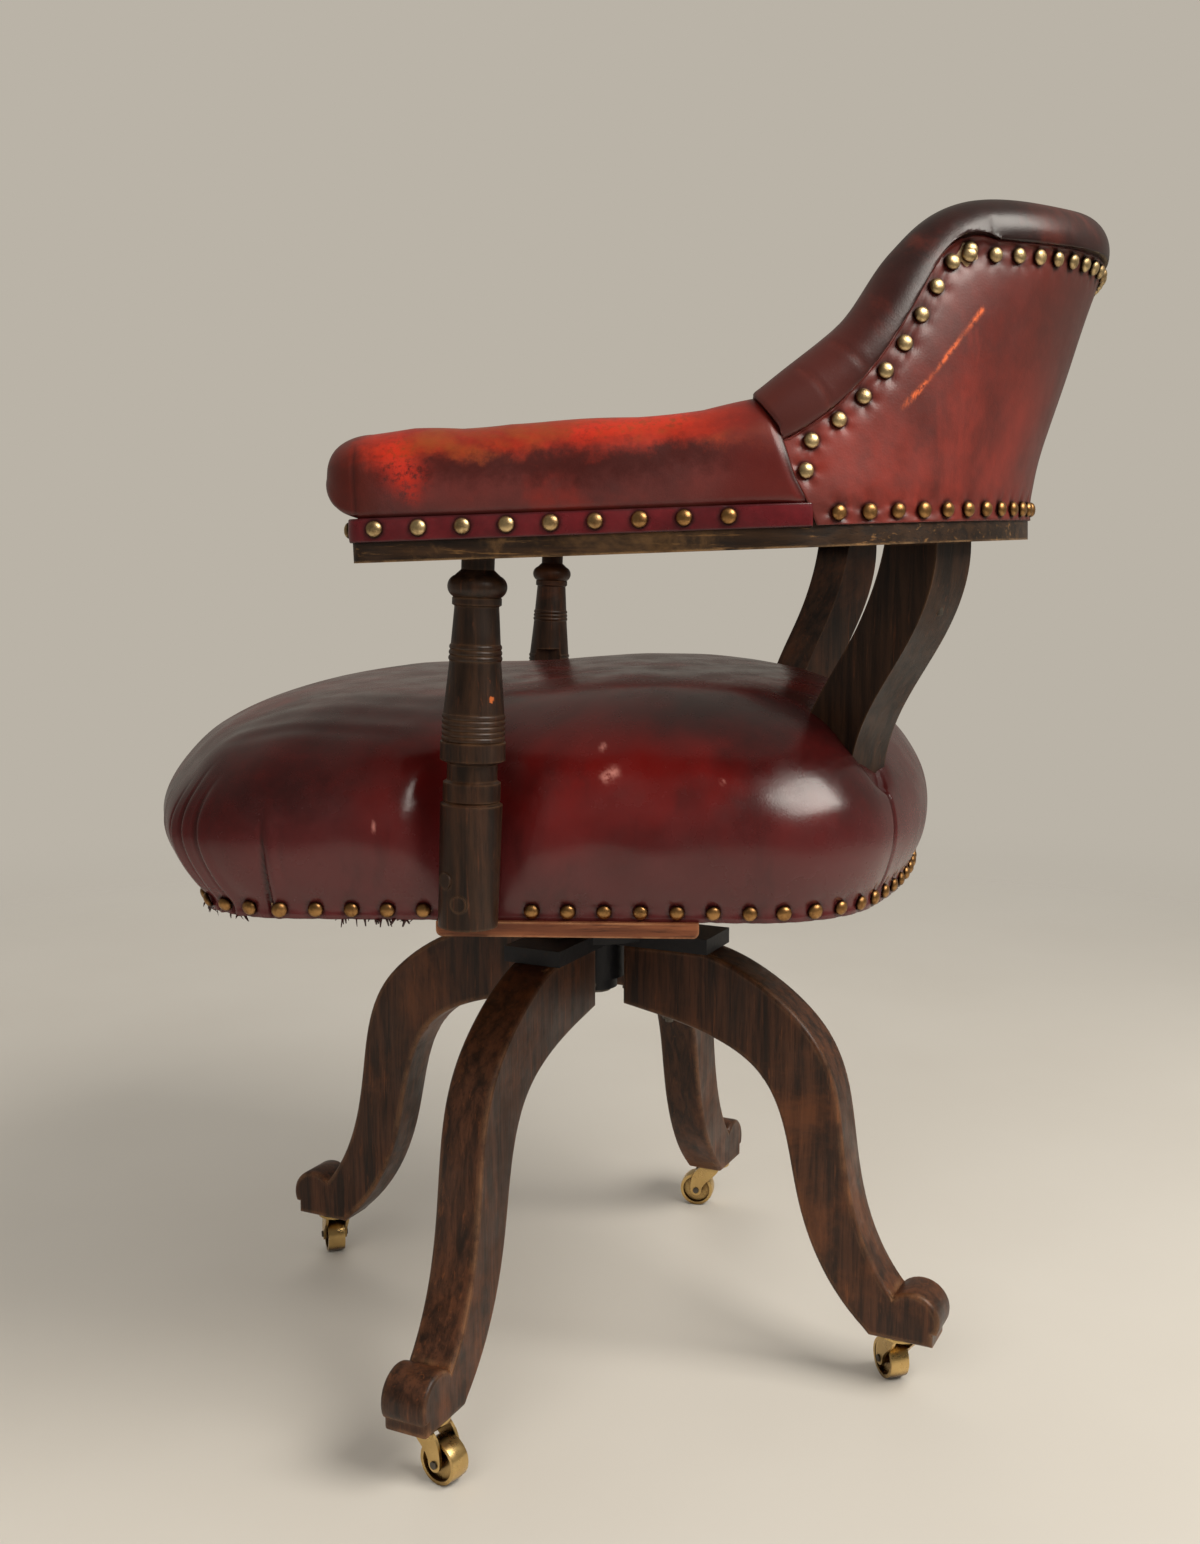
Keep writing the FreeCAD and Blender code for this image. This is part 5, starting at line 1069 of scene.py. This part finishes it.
def pleat(points, ring, out, columns):
    """Folds of the hide at the front corners: a sharp step with a soft ridge beside it, and painted shade
    in each valley.
    """
    reach = lengths(ring)
    forward = points[:, 1] - ring[columns, 1]
    side = np.degrees(np.arctan2(out[:, 1], np.abs(out[:, 0])))
    amount = np.zeros(len(points))
    dirt_and_shade = np.zeros(len(points))
    height = points[:, 2] - SEAT_FOOT
    for flank in (1, -1):
        usable = np.where((out[:, 0] * flank > -0.01) & (ring[:, 1] < 0))[0]
        for direction, top, upright in PLEATS:
            start = usable[np.argmin(np.abs(side[usable] - direction))]
            gap = (reach - reach[start]) * flank
            gap = gap[columns] + 0.05 * height * (direction + 40) / 90 + upright * forward
            fade = step_up(height, top, top - 0.05) * step_up(height, -0.01, 0.01)
            valley = hill(gap, 0.0016)
            ridge = hill(gap - 0.0050, 0.0042)
            amount += fade * (0.55 * PLEAT_DEPTH * ridge - PLEAT_DEPTH * valley)
            # Painted shade along the bottom of each fold
            dirt_and_shade = np.maximum(dirt_and_shade, fade * 0.9 * hill(gap, 0.0011))
    return amount, dirt_and_shade


def press_posts(points):
    """Draw the hide in beside the posts and keep it off them."""
    height = points[:, 2] - SEAT_FOOT
    middle = POST_FOOT_Y + height * math.tan(POST_LEAN)
    gap = np.abs(points[:, 1] - middle)
    side = np.sign(points[:, 0])
    reach = np.abs(points[:, 0])
    draw = POST_DRAW * hill(height - POST_DRAW_LEVEL, POST_DRAW_HEIGHT)
    drawn = reach - draw * (1 - step_up(gap, POST_TRUNK * 0.6, POST_TRUNK + POST_DRAW_LENGTH))
    behind = POST_SIDE - np.sqrt(np.maximum(0, (POST_TRUNK + POST_CLEARANCE) ** 2 - gap ** 2))
    limit = np.where(gap < POST_TRUNK, np.minimum(behind, drawn), drawn)
    reach = np.where(reach > limit, limit, reach)
    points = points.copy()
    points[:, 0] = side * reach
    return points


def seat_cover():
    """Closed skin of the hide: down the outside from the crown, round the cut edge and up the inside."""
    ring, out = seat_ring()
    profile = smooth_line(SEAT_PROFILE, 4 * SEAT_ROWS)
    profile[HEM_POINTS:] = relaxed(profile[HEM_POINTS:], RELAXING)
    shares = np.concatenate([np.linspace(0, FLANK_SHARE, FLANK_ROWS),
                             np.linspace(FLANK_SHARE, 1, SEAT_ROWS - FLANK_ROWS + 1)[1:]])
    profile = profile[np.round(shares * (len(profile) - 1)).astype(int)]
    outer = seat_rows(ring, profile[::-1])
    lip = [(-0.0006, 0.0012, 0), (0.0006, 0.0001, 0)]
    inside = [(h, s - 0.0018 - 0.006 * min(1, h / 0.03), f) for h, s, f in SEAT_PROFILE[1:]]
    return surface("seat_cover", outer + seat_rows(ring, lip + inside)), ring, out, len(outer)


# The uprights stand where x - y is this much, and the hide opens behind them
UPRIGHT_LINE = 0.0185
VALLEY_DEPTH = 0.017
VALLEY_HALF = 0.013
# Where the valley ends outwards, and the height up to which the hide is sewn together
VALLEY_RIM = 0.352
SEWN_TOP = 0.524
# Creases of the top at the front corners, seen from above: start, end, depth, width
STRETCH_CREASES = [
    ((0.238, -0.225), (0.250, -0.120), 0.0005, 0.0060),
    ((0.208, -0.240), (0.228, -0.115), 0.0004, 0.0075),
    ((0.172, -0.235), (0.200, -0.100), 0.0004, 0.0080),
]


def open_at_uprights(cover, outer):
    """The hide dips behind each upright and is sewn together under it."""
    points = vertices(cover)
    x = np.abs(points[:, 0])
    y = points[:, 1]
    gap = (x - y - UPRIGHT_LINE) / math.sqrt(2)
    out = (x + y) / math.sqrt(2)
    valley = outer * hill(gap, VALLEY_HALF) * step_up(out, 0.255, 0.285)
    valley *= step_up(VALLEY_RIM - out, 0, 0.030) * step_up(points[:, 2], 0.470, 0.500)
    points[:, 2] -= VALLEY_DEPTH * valley
    set_vertices(cover, points)
    rear = outer * step_up(out, 0.285, 0.300)
    lip = rear * step_up(points[:, 2], 0.472, 0.484) * hill(np.abs(gap) - 0.0075, 0.0035)
    push(cover, 0.0007 * lip * step_up(VALLEY_RIM - out, 0, 0.02))
    sewn = rear * step_up(SEWN_TOP - points[:, 2], 0, 0.01)
    # The sewn seam under each upright, with painted shade in its valley
    groove(cover, np.abs(gap), depth=0.0034, width=0.0014, dark=1.0, where=sewn)


def crease_seat(cover, outer):
    points = vertices(cover)
    flat = np.column_stack([np.abs(points[:, 0]), points[:, 1]])
    high = outer * step_up(points[:, 2], 0.500, 0.520)
    for start, end, depth, width in STRETCH_CREASES:
        gap = near_line(flat, [start, end])
        push(cover, high * (0.6 * depth * hill(gap - 2 * width, width) - depth * hill(gap, width)))


# Scuffs of the left flank in side view: start, end, width, amount
SEAT_SCUFFS = [
    ((0.0205, 0.4925), (0.0262, 0.4952), 0.0026, 0.9),
    ((0.0175, 0.5085), (0.0190, 0.5100), 0.0012, 0.9),
    ((0.0080, 0.5190), (0.0090, 0.5200), 0.0012, 0.7),
    ((0.0930, 0.4900), (0.0935, 0.4905), 0.0010, 0.7),
    ((-0.1225, 0.4600), (-0.1222, 0.4640), 0.0007, 0.8),
]

HEM_CLUMPS = 32
CLUMP_THREADS = 6
THREAD_CORNERS = 5


def frayed_hem(ring, out):
    """Loose threads in clumps along the cut edge of the hide at the front."""
    random = np.random.default_rng(7)
    usable = np.where(ring[:, 1] < -0.09)[0]
    clumps = np.repeat(random.choice(usable, HEM_CLUMPS, replace=False), CLUMP_THREADS)
    points = []
    for pick in (clumps + np.round(random.normal(0, 3.5, len(clumps))).astype(int)) % len(ring):
        foot = ring[pick] + out[pick] * 0.0012
        drop = random.uniform(0.001, 0.0052)
        lean = random.normal(0, 0.0018, 2)
        width = random.uniform(0.0004, 0.0016)
        side = np.array([-out[pick][1], out[pick][0]]) * width
        top, low = SEAT_FOOT + 0.0008, SEAT_FOOT - drop
        for edge in (side, -side):
            points.append((*(foot + edge), top))
            points.append((*(foot + edge * 0.4 + lean), low))
        points.append((*(foot + out[pick] * width + lean / 2), (top + low) / 2))
    faces = []
    for base in range(0, len(points), THREAD_CORNERS):
        faces += [(base, base + 2, base + 4), (base, base + 4, base + 1), (base + 1, base + 4, base + 3),
                  (base + 2, base + 3, base + 4), (base, base + 1, base + 3, base + 2)]
    made = add_mesh("seat_frayed_edge", points, faces, smooth=False)
    shade(made, np.full(len(points), 0.75))
    return made


# Slack of the flanks, as waves over x, y and the height over the frame
SEAT_WAVES = [
    (0.00090, (9, 62, 26), 0.4, (0, 17, 41), 0.0),
    (0.00063, (50, 118, 12), 0.0, (0, 0, 29), 0.9),
]
# How much lower the crown is in front of the posts than behind them
FRONT_DROP = 0.0075
# A distance at which no mark shows, for the other side of the chair
FAR_AWAY = 10.0


def finish_seat(cover, ring, out, outer_rows):
    """Everything that shapes the plain cover: posts, pleats, front, slack, uprights, creases and scuffs."""
    width = len(ring)
    points = vertices(cover)
    outer = (np.arange(len(points)) // width < outer_rows).astype(float)
    # The last two vertices are the middle of the crown and of its inside
    outer[-2:] = (1, 0)
    pressed = press_posts(points)
    set_vertices(cover, pressed)
    amount, dirt_and_shade = pleat(pressed, ring, out, np.arange(len(points)) % width)
    push(cover, amount * outer)
    # Painted shade in the pleats' valleys, on the outside of the cover only
    shade(cover, dirt_and_shade * outer)
    level = points[:, 2] - SEAT_FOOT
    lowered = vertices(cover)
    lowered[:, 2] -= FRONT_DROP * step_up(-points[:, 1], -0.05, 0.08) * step_up(level, 0.100, 0.146)
    set_vertices(cover, lowered)
    flank = step_up(level, 0.008, 0.030) * (1 - 0.85 * step_up(level, 0.095, 0.130))
    push(cover, waves(points - (0, 0, SEAT_FOOT), SEAT_WAVES) * outer * flank)
    open_at_uprights(cover, outer)
    crease_seat(cover, outer)
    points = vertices(cover)
    rub(cover, np.where(points[:, :1] < 0.25, FAR_AWAY, points[:, 1:]), SEAT_SCUFFS)


# Arms

PAD_TOP = 0.0795
# Half of an arm pad's section: across, height over the boards' underside
PAD_SECTION = [
    (0.0, 0.0252), (0.0250, 0.0252), (0.0318, 0.0262), (0.0338, 0.0320), (0.0349, 0.0430), (0.0342, 0.0530),
    (0.0312, 0.0625), (0.0250, 0.0705), (0.0160, 0.0765), (0.0075, 0.0790), (0.0, PAD_TOP),
]
# Crown of the arm pad in side view, in the bow's frame
PAD_CROWN = [(-0.1150, 0.0762), (-0.0900, 0.0786), (-0.0610, 0.0782), (-0.0325, 0.0806), (0.0060, 0.0803),
             (0.0440, 0.0801), (0.0820, 0.0820), (0.1140, 0.0872)]
# Nose of the pad: where its rounding starts, how far it reaches to the front, and the height it closes to
NOSE_CENTRE = -0.1150
NOSE_REACH = 0.0285
NOSE_MIDDLE = 0.0510
# How bluntly the nose closes, across and up, and how much flatter its upper half is
NOSE_BLUNT = (0.62, 0.72)
NOSE_FLAT = 0.884
# Share by which the pad narrows at the seam, and where that begins
TUCK = 0.055
TUCK_START = 0.975


def seam_y(height):
    line = np.array(SEAM_LINE)
    return np.interp(height, line[:, 1], line[:, 0])


def arm_pad():
    """Left arm pad: a swept section with a rounded nose, cut off along the seam."""
    half = smooth_line(PAD_SECTION, 48)
    section = np.vstack([half, (half * np.array([-1, 1]))[::-1][1:-1]])
    crown = np.array(PAD_CROWN)
    rows = []
    for angle in np.linspace(0.10, math.pi / 2, 22)[:-1]:
        across, up = (math.sin(angle) ** power for power in NOSE_BLUNT)
        y = NOSE_CENTRE - NOSE_REACH * math.cos(angle)
        lower_top = np.where(section[:, 1] > NOSE_MIDDLE, NOSE_FLAT, 1)
        height = NOSE_MIDDLE + (section[:, 1] - NOSE_MIDDLE) * up * lower_top
        rows.append(np.column_stack([section[:, 0] * across, np.full(len(section), y), height]))
    for share in np.linspace(0, 1, 150):
        height = section[:, 1]
        y = NOSE_CENTRE + share * (seam_y(height) - NOSE_CENTRE)
        rise = (np.interp(y, crown[:, 0], crown[:, 1]) - BOARD_TOP) / (PAD_TOP - BOARD_TOP)
        tuck = 1 - TUCK * step_up(share, TUCK_START, 1.0)
        raised = BOARD_TOP + (height - BOARD_TOP) * rise * tuck
        rows.append(np.column_stack([section[:, 0] * tuck, y, raised]))
    rows = np.array(rows)
    rows[:, :, 0] += ARM_MIDDLE
    return surface("arm_cover_left", in_bow(rows))


BAND_COLUMN = 0.0016
BAND_CORNER = 0.009
# Section of a band: distance from the board, height over the boards' underside
BAND_SECTION = [(0.0002, 0.0122), (0.0014, 0.0118), (0.0021, 0.0128), (0.0026, BAND_MIDDLE),
                (0.0021, 0.0248), (0.0013, 0.0258), (0.0002, 0.0254)]


def band_path():
    """Path of the left band round its board: x, y, and the x and y of the outward direction."""
    turns = np.linspace(0, math.pi / 2, 10)
    outer, outer_out = end_arcs(BACK_LOW["half"], BACK_LOW["rear"], BACK_LOW["corner"], BACK_LOW["bow"])
    straight_end = outer[0, 1]
    corner_y = BOW_FRONT + BAND_CORNER
    path = [(BOW_INNER, straight_end - 0.004, -1, 0), (BOW_INNER, corner_y + 0.02, -1, 0)]
    path += [(BOW_INNER + BAND_CORNER * (1 - math.cos(a)), corner_y - BAND_CORNER * math.sin(a),
              -math.cos(a), -math.sin(a)) for a in turns]
    path += [(BOW_HALF - BAND_CORNER * (1 - math.sin(a)), corner_y - BAND_CORNER * math.cos(a),
              math.sin(a), -math.cos(a)) for a in turns]
    path += [(BOW_HALF, corner_y + 0.02, 1, 0), (BOW_HALF, straight_end - 0.002, 1, 0)]
    path += [(x, y, nx, ny) for (x, y), (nx, ny) in zip(outer, outer_out) if y < seam_y(BAND_MIDDLE)]
    path = np.array(path)
    reach = lengths(path[:, :2])
    return at_lengths(path, reach, np.linspace(0, reach[-1], round(reach[-1] / BAND_COLUMN)))


def arm_band():
    """Left band: a strip of hide round the inside, front and outside of the board, on to the seam."""
    section = np.vstack([smooth_line(BAND_SECTION, 26), [(0.0001, 0.021), (0.0001, 0.016)]])
    rows = [[(x + nx * out, y + ny * out, height) for out, height in section]
            for x, y, nx, ny in band_path()]
    return surface("arm_band_strip_left", in_bow(rows))


# Back

def back_size(level):
    share = max(0.0, (level - BOARD_TOP) / (BACK_EDGE_LEVEL - BOARD_TOP)) ** BACK_FLARE
    return {name: BACK_LOW[name] + (BACK_HIGH[name] - BACK_LOW[name]) * share for name in BACK_LOW}


def back_line(level, inset, start, count):
    """Half of the back's outline at a level: from the seam round to the middle of the rear."""
    size = back_size(level)
    arcs, out = end_arcs(size["half"], size["rear"], size["corner"], size["bow"], inset)
    if start < arcs[0, 1]:
        arcs = np.vstack([[size["half"] - inset, start], arcs])
    else:
        keep = arcs[:, 1] > start
        first = [np.interp(start, arcs[:, 1], arcs[:, 0]), start]
        arcs = np.vstack([[first], arcs[keep]])
    return resample(arcs, count)


def edge_height(y):
    edge = b_spline(EDGE_POLES, 80)
    return np.interp(y, edge[:, 0], edge[:, 1])


BACK_LEVELS = 70
BACK_TOP = 0.192
# Columns to each side over which the top edge is evened out
EVENED = 3


def back_grid(inset, low, columns, rows, top_extra=0.0):
    """Grid over the back at an inset from its outline: columns from the left seam to the right one."""
    half = columns // 2 + 1
    levels = np.linspace(low, BACK_TOP, BACK_LEVELS)
    lines = np.array([back_line(level, inset, seam_y(level), half) for level in levels])
    top = np.full(half, EDGE_POLES[0][1])
    for column in range(1, half):
        inside = levels <= edge_height(lines[:, column, 1])
        top[column] = max(top[0], levels[inside][-1])
    window = np.ones(2 * EVENED + 1) / (2 * EVENED + 1)
    smooth = np.convolve(np.pad(top, EVENED, mode="edge"), window, "valid")
    top = np.where(np.arange(half) > EVENED, smooth, top) + top_extra
    grid = np.empty((rows, half, 3))
    for column in range(half):
        wanted = np.linspace(low, top[column], rows)
        for axis in (0, 1):
            grid[:, column, axis] = np.interp(wanted, levels, lines[:, column, axis])
        grid[:, column, 2] = wanted
    other = (grid * np.array([-1, 1, 1]))[:, ::-1][:, 1:]
    return np.concatenate([grid, other], axis=1)


# How far the panel stands out from the back's outline, its thickness and the radius of its folded edge
HIDE = 0.002
PANEL_THICKNESS = 0.0021
PANEL_LIP = 0.0014
PANEL_GRID = {"low": 0.0125, "columns": 520, "rows": 84}
LINING_GRID = {"low": 0.0258, "columns": 260, "rows": 30, "top_extra": 0.004}
LINING_SWELL = 0.006


def back_cover_panel():
    """Outer leather of the back, with a folded top edge."""
    outer = back_grid(-HIDE, **PANEL_GRID)
    inner = back_grid(-HIDE + PANEL_THICKNESS, **PANEL_GRID)
    away = outer[-1] - inner[-1]
    away /= np.linalg.norm(away, axis=1)[:, None]
    middle = (outer[-1] + inner[-1]) / 2
    fold = []
    for angle in np.linspace(-0.35, math.pi + 0.35, 9):
        rise = PANEL_LIP * (0.35 + math.sin(angle)) * np.array([0, 0, 1])
        fold.append(middle + PANEL_LIP * math.cos(angle) * away + rise)
    rows = np.concatenate([outer, fold, inner[::-1]]).transpose(1, 0, 2)
    return surface("back_outer_leather", in_bow(rows))


def back_lining():
    """Padded inner face of the back: closed sections from the left seam to the right one."""
    face = back_grid(0.050, **LINING_GRID)
    rear = back_grid(0.016, **LINING_GRID)
    swell = np.sin(np.linspace(0, math.pi, LINING_GRID["rows"])) ** 0.7 * LINING_SWELL
    inward = face - rear
    inward /= np.linalg.norm(inward, axis=2)[:, :, None]
    face = face + inward * swell[:, None, None]
    top = face[-1] + (rear[-1] - face[-1]) * 0.5 + np.array([0, 0, 0.010])
    rows = np.concatenate([face, [top], rear[::-1]]).transpose(1, 0, 2)
    return surface("back_lining", in_bow(rows))


# Seams of the pad's nose in side view: along the chair, height over the boards' underside
NOSE_SEAM = [(-0.1225, 0.020), (-0.1225, 0.045), (-0.1228, 0.075), (-0.1228, 0.090)]
GUSSET_SEAM = [(-0.1460, 0.0440), (-0.1400, 0.0350), (-0.1330, 0.0290), (-0.1250, 0.0255)]
# Brightest rubs: start, end, width, amount
ARM_RUBS = [
    ((-0.100, 0.064), (-0.092, 0.050), 0.0100, 0.9),
    ((-0.094, 0.050), (-0.089, 0.040), 0.0060, 0.6),
    ((0.010, 0.071), (0.070, 0.078), 0.0070, 0.8),
]
PAD_WAVES = [
    (0.0007, (0, 64, 0), 0.8, (0, 0, 0), math.pi / 2),
    (0.0009, (40, 27, 0), 0.0, (0, 0, 0), math.pi / 2),
]


def finish_arm_pad(pad):
    """Seams round the gusset at the nose with painted shade in them, low swells along the crown, the
    brightest rubs, and painted shade along the end at the seam.
    """
    bow = to_bow(vertices(pad))
    side = bow[:, 1:]
    flank = step_up(0.074 - bow[:, 2], 0, 0.012)
    groove(pad, near_line(side, smooth_line(NOSE_SEAM, 30)), 0.0007, 0.0011, 0.0002, 0.5, flank)
    groove(pad, near_line(side, smooth_line(GUSSET_SEAM, 30)), 0.0014, 0.0013, 0.0008)
    crown = step_up(bow[:, 2], 0.045, 0.070) * step_up(bow[:, 1], -0.115, -0.06)
    push(pad, waves(bow, PAD_WAVES) * crown)
    rub(pad, side, ARM_RUBS)
    # Painted shade: a dark line where the pad ends at the seam
    end = seam_y(bow[:, 2]) - bow[:, 1]
    shade(pad, 0.9 * hill(end, 0.0016))


# The scratch in side view: along the chair, height over the boards' underside
PANEL_SCRATCH = [(0.2502, 0.1369), (0.2269, 0.1096), (0.2131, 0.0935), (0.1982, 0.0794)]
PANEL_RUBS = [
    ((0.250, 0.2868, 0.1235), (0.250, 0.2868, 0.1175), 0.0028, 0.6),
    ((0.300, 0.165, 0.062), (0.298, 0.170, 0.050), 0.0030, 0.5),
]
# Middle of the rear's shallow hollow, and its depth
REAR_HOLLOW = (0.0, 0.357, 0.140)
REAR_HOLLOW_DEPTH = 0.0030
PANEL_WAVES = [(0.0012, (21, 25, 0), 0.0, (0, 0, 34), 1.1)]


def finish_panel(panel):
    """Hollow at the rear, the orange scratch, small rubs and low waves."""
    bow = to_bow(vertices(panel))
    level = bow[:, 2]
    hollow = hill(np.linalg.norm((bow - REAR_HOLLOW) * (0.25, 0, 1), axis=1), 0.030)
    push(panel, -REAR_HOLLOW_DEPTH * hollow * step_up(bow[:, 1], 0.27, 0.34))
    gap = near_line(bow[:, 1:], smooth_line(PANEL_SCRATCH, 60)) + FAR_AWAY * (bow[:, 0] < 0)
    shade(panel, 1.3 * hill(gap, 0.0011) * (0.6 + 0.4 * np.sin(bow[:, 1] * 310)), "rub")
    rub(panel, bow, PANEL_RUBS)
    inner = step_up(level, 0.03, 0.07) * step_up(edge_height(bow[:, 1]) - level, 0.01, 0.03)
    push(panel, waves(bow, PANEL_WAVES) * inner)


# The last nail of the back, low beside the arm's seam, in the bow's frame
SEAM_NAIL = (0.3260, 0.1400, 0.0440)

# Seam and creases of the roll in side view. A crease has its line, depth, width, what shows in it (wear as
# rub, or painted shade as cavity) and how much
ROLL_SEAM = [(0.2590, 0.1740), (0.2578, 0.1900)]
ROLL_WAVES = [(0.0005, (0, 55, 30), 0.0, (33, 0, 0), 0.7)]
ROLL_CREASES = [
    ([(0.156, 0.074), (0.150, 0.090), (0.138, 0.102)], 0.0004, 0.0014, "rub", 0.25),
    ([(0.180, 0.095), (0.170, 0.108), (0.158, 0.116)], 0.0003, 0.0020, "rub", 0.15),
    ([(0.243, 0.170), (0.240, 0.180), (0.234, 0.186)], 0.0004, 0.0014, "cavity", 0.5),
]


def finish_roll(roll):
    bow = to_bow(vertices(roll))
    flat = bow[:, 1:]
    # The seam's valley gets painted shade
    groove(roll, near_line(flat, ROLL_SEAM), 0.0006, 0.0011, 0.0, 0.9)
    for line, depth, width, kept, amount in ROLL_CREASES:
        gap = near_line(flat, smooth_line(line, 30))
        push(roll, 0.5 * depth * hill(gap - 2.2 * width, width) - depth * hill(gap, width))
        shade(roll, amount * hill(gap, width), kept)
    push(roll, waves(bow, ROLL_WAVES))


# Middle line of the roll in the bow's frame, from the left arm's seam to the middle of the back
ROLL_LINE = [
    (0.296, 0.108, 0.061),
    (0.299, 0.135, 0.078),
    (0.290, 0.180, 0.1125),
    (0.271, 0.213, 0.155),
    (0.251, 0.246, 0.179),
    (0.208, 0.306, 0.182),
    (0.150, 0.331, 0.183),
    (0.000, 0.341, 0.183),
]
ROLL_RADIUS = 0.024
EDGE_GAP = 0.0004
SEAM_GAP = 0.0006


def above_edge(rows):
    """Keep the roll on the panel's edge: what would reach under it lies along the edge instead."""
    edge = b_spline(EDGE_POLES, 120)
    edge = np.vstack([edge, [[EDGE_POLES[-1][0] + 0.20, EDGE_POLES[-1][1] - 0.002]]])
    flat = rows[:, :, 1:].reshape(-1, 2)
    nearest = nearest_on(flat, edge)[0]
    under = (flat[:, 1] < np.interp(flat[:, 0], edge[:, 0], edge[:, 1])) & (flat[:, 0] > edge[0, 0])
    flat = np.where(under[:, None], nearest + (0, EDGE_GAP), flat)
    return np.concatenate([rows[:, :, :1], flat.reshape(rows.shape[0], -1, 2)], axis=2)


def back_roll():
    half = np.array(ROLL_LINE)
    line = np.vstack([half, (half * np.array([-1, 1, 1]))[::-1][1:]])
    line = smooth_line(line, 420)
    along = np.gradient(line, axis=0)
    along /= np.linalg.norm(along, axis=1)[:, None]
    across = np.cross(along, (0, 0, 1))
    across /= np.linalg.norm(across, axis=1)[:, None]
    up = np.cross(across, along)
    angles = np.linspace(0, 2 * math.pi, 72, endpoint=False)
    rows = np.array([middle + ROLL_RADIUS * (np.cos(angles)[:, None] * a + np.sin(angles)[:, None] * b)
                     for middle, a, b in zip(line, across, up)])
    rows[:, :, 1] = np.maximum(rows[:, :, 1], seam_y(rows[:, :, 2]) + SEAM_GAP)
    return surface("back_roll_cover", in_bow(above_edge(rows)))


def dress_seat(materials):
    cover, ring, out, outer_rows = seat_cover()
    finish_seat(cover, ring, out, outer_rows)
    finished(cover, materials, "leather_seat", ["seat_leather", "seat_stuffing"])
    finished(frayed_hem(ring, out), materials, "leather_seat")
    nails = drive_nails("seat_nail_domes", nail_places("seat_nails"), [cover], materials, "seat_nails")
    pucker(cover, nails, depth=0.0016, reach=0.0080)


def dress_arms(materials):
    pad = arm_pad()
    band = arm_band()
    pads = [pad, mirrored(pad, "arm_cover_right")]
    bands = [band, mirrored(band, "arm_band_strip_right")]
    nails = drive_nails("arm_nail_domes", nail_places("arm_nails"), bands, materials, "arm_nails")
    for obj, side in zip(pads, ("left", "right")):
        finish_arm_pad(obj)
        finished(obj, materials, "leather_arms", ["arm_pad_" + side])
    for obj, side in zip(bands, ("left", "right")):
        pucker(obj, nails, depth=0.0012, reach=0.0060)
        finished(obj, materials, "leather_band", ["arm_band_" + side])


def dress_back(materials):
    panel = back_cover_panel()
    places = nail_places("back_nails")
    for side in (1, -1):
        corner = Vector((side * SEAM_NAIL[0], *SEAM_NAIL[1:]))
        places.append((np.array(BOW_FRAME @ corner), np.array((side, 0.0, 0.0))))
    nails = drive_nails("back_nail_domes", places, [panel], materials, "back_nails")
    pucker(panel, nails, depth=0.0018, reach=0.0080)
    finish_panel(panel)
    finished(panel, materials, "leather_panel", ["back_panel"])
    lining = back_lining()
    finished(lining, materials, "leather_roll", ["back_pad"])
    roll = back_roll()
    finish_roll(roll)
    finished(roll, materials, "leather_roll", ["back_roll"])


def build():
    make_camera()
    make_floor()
    make_world()
    make_light()
    materials = make_materials()
    dress_frame(materials)
    dress_seat(materials)
    dress_arms(materials)
    dress_back(materials)


build()
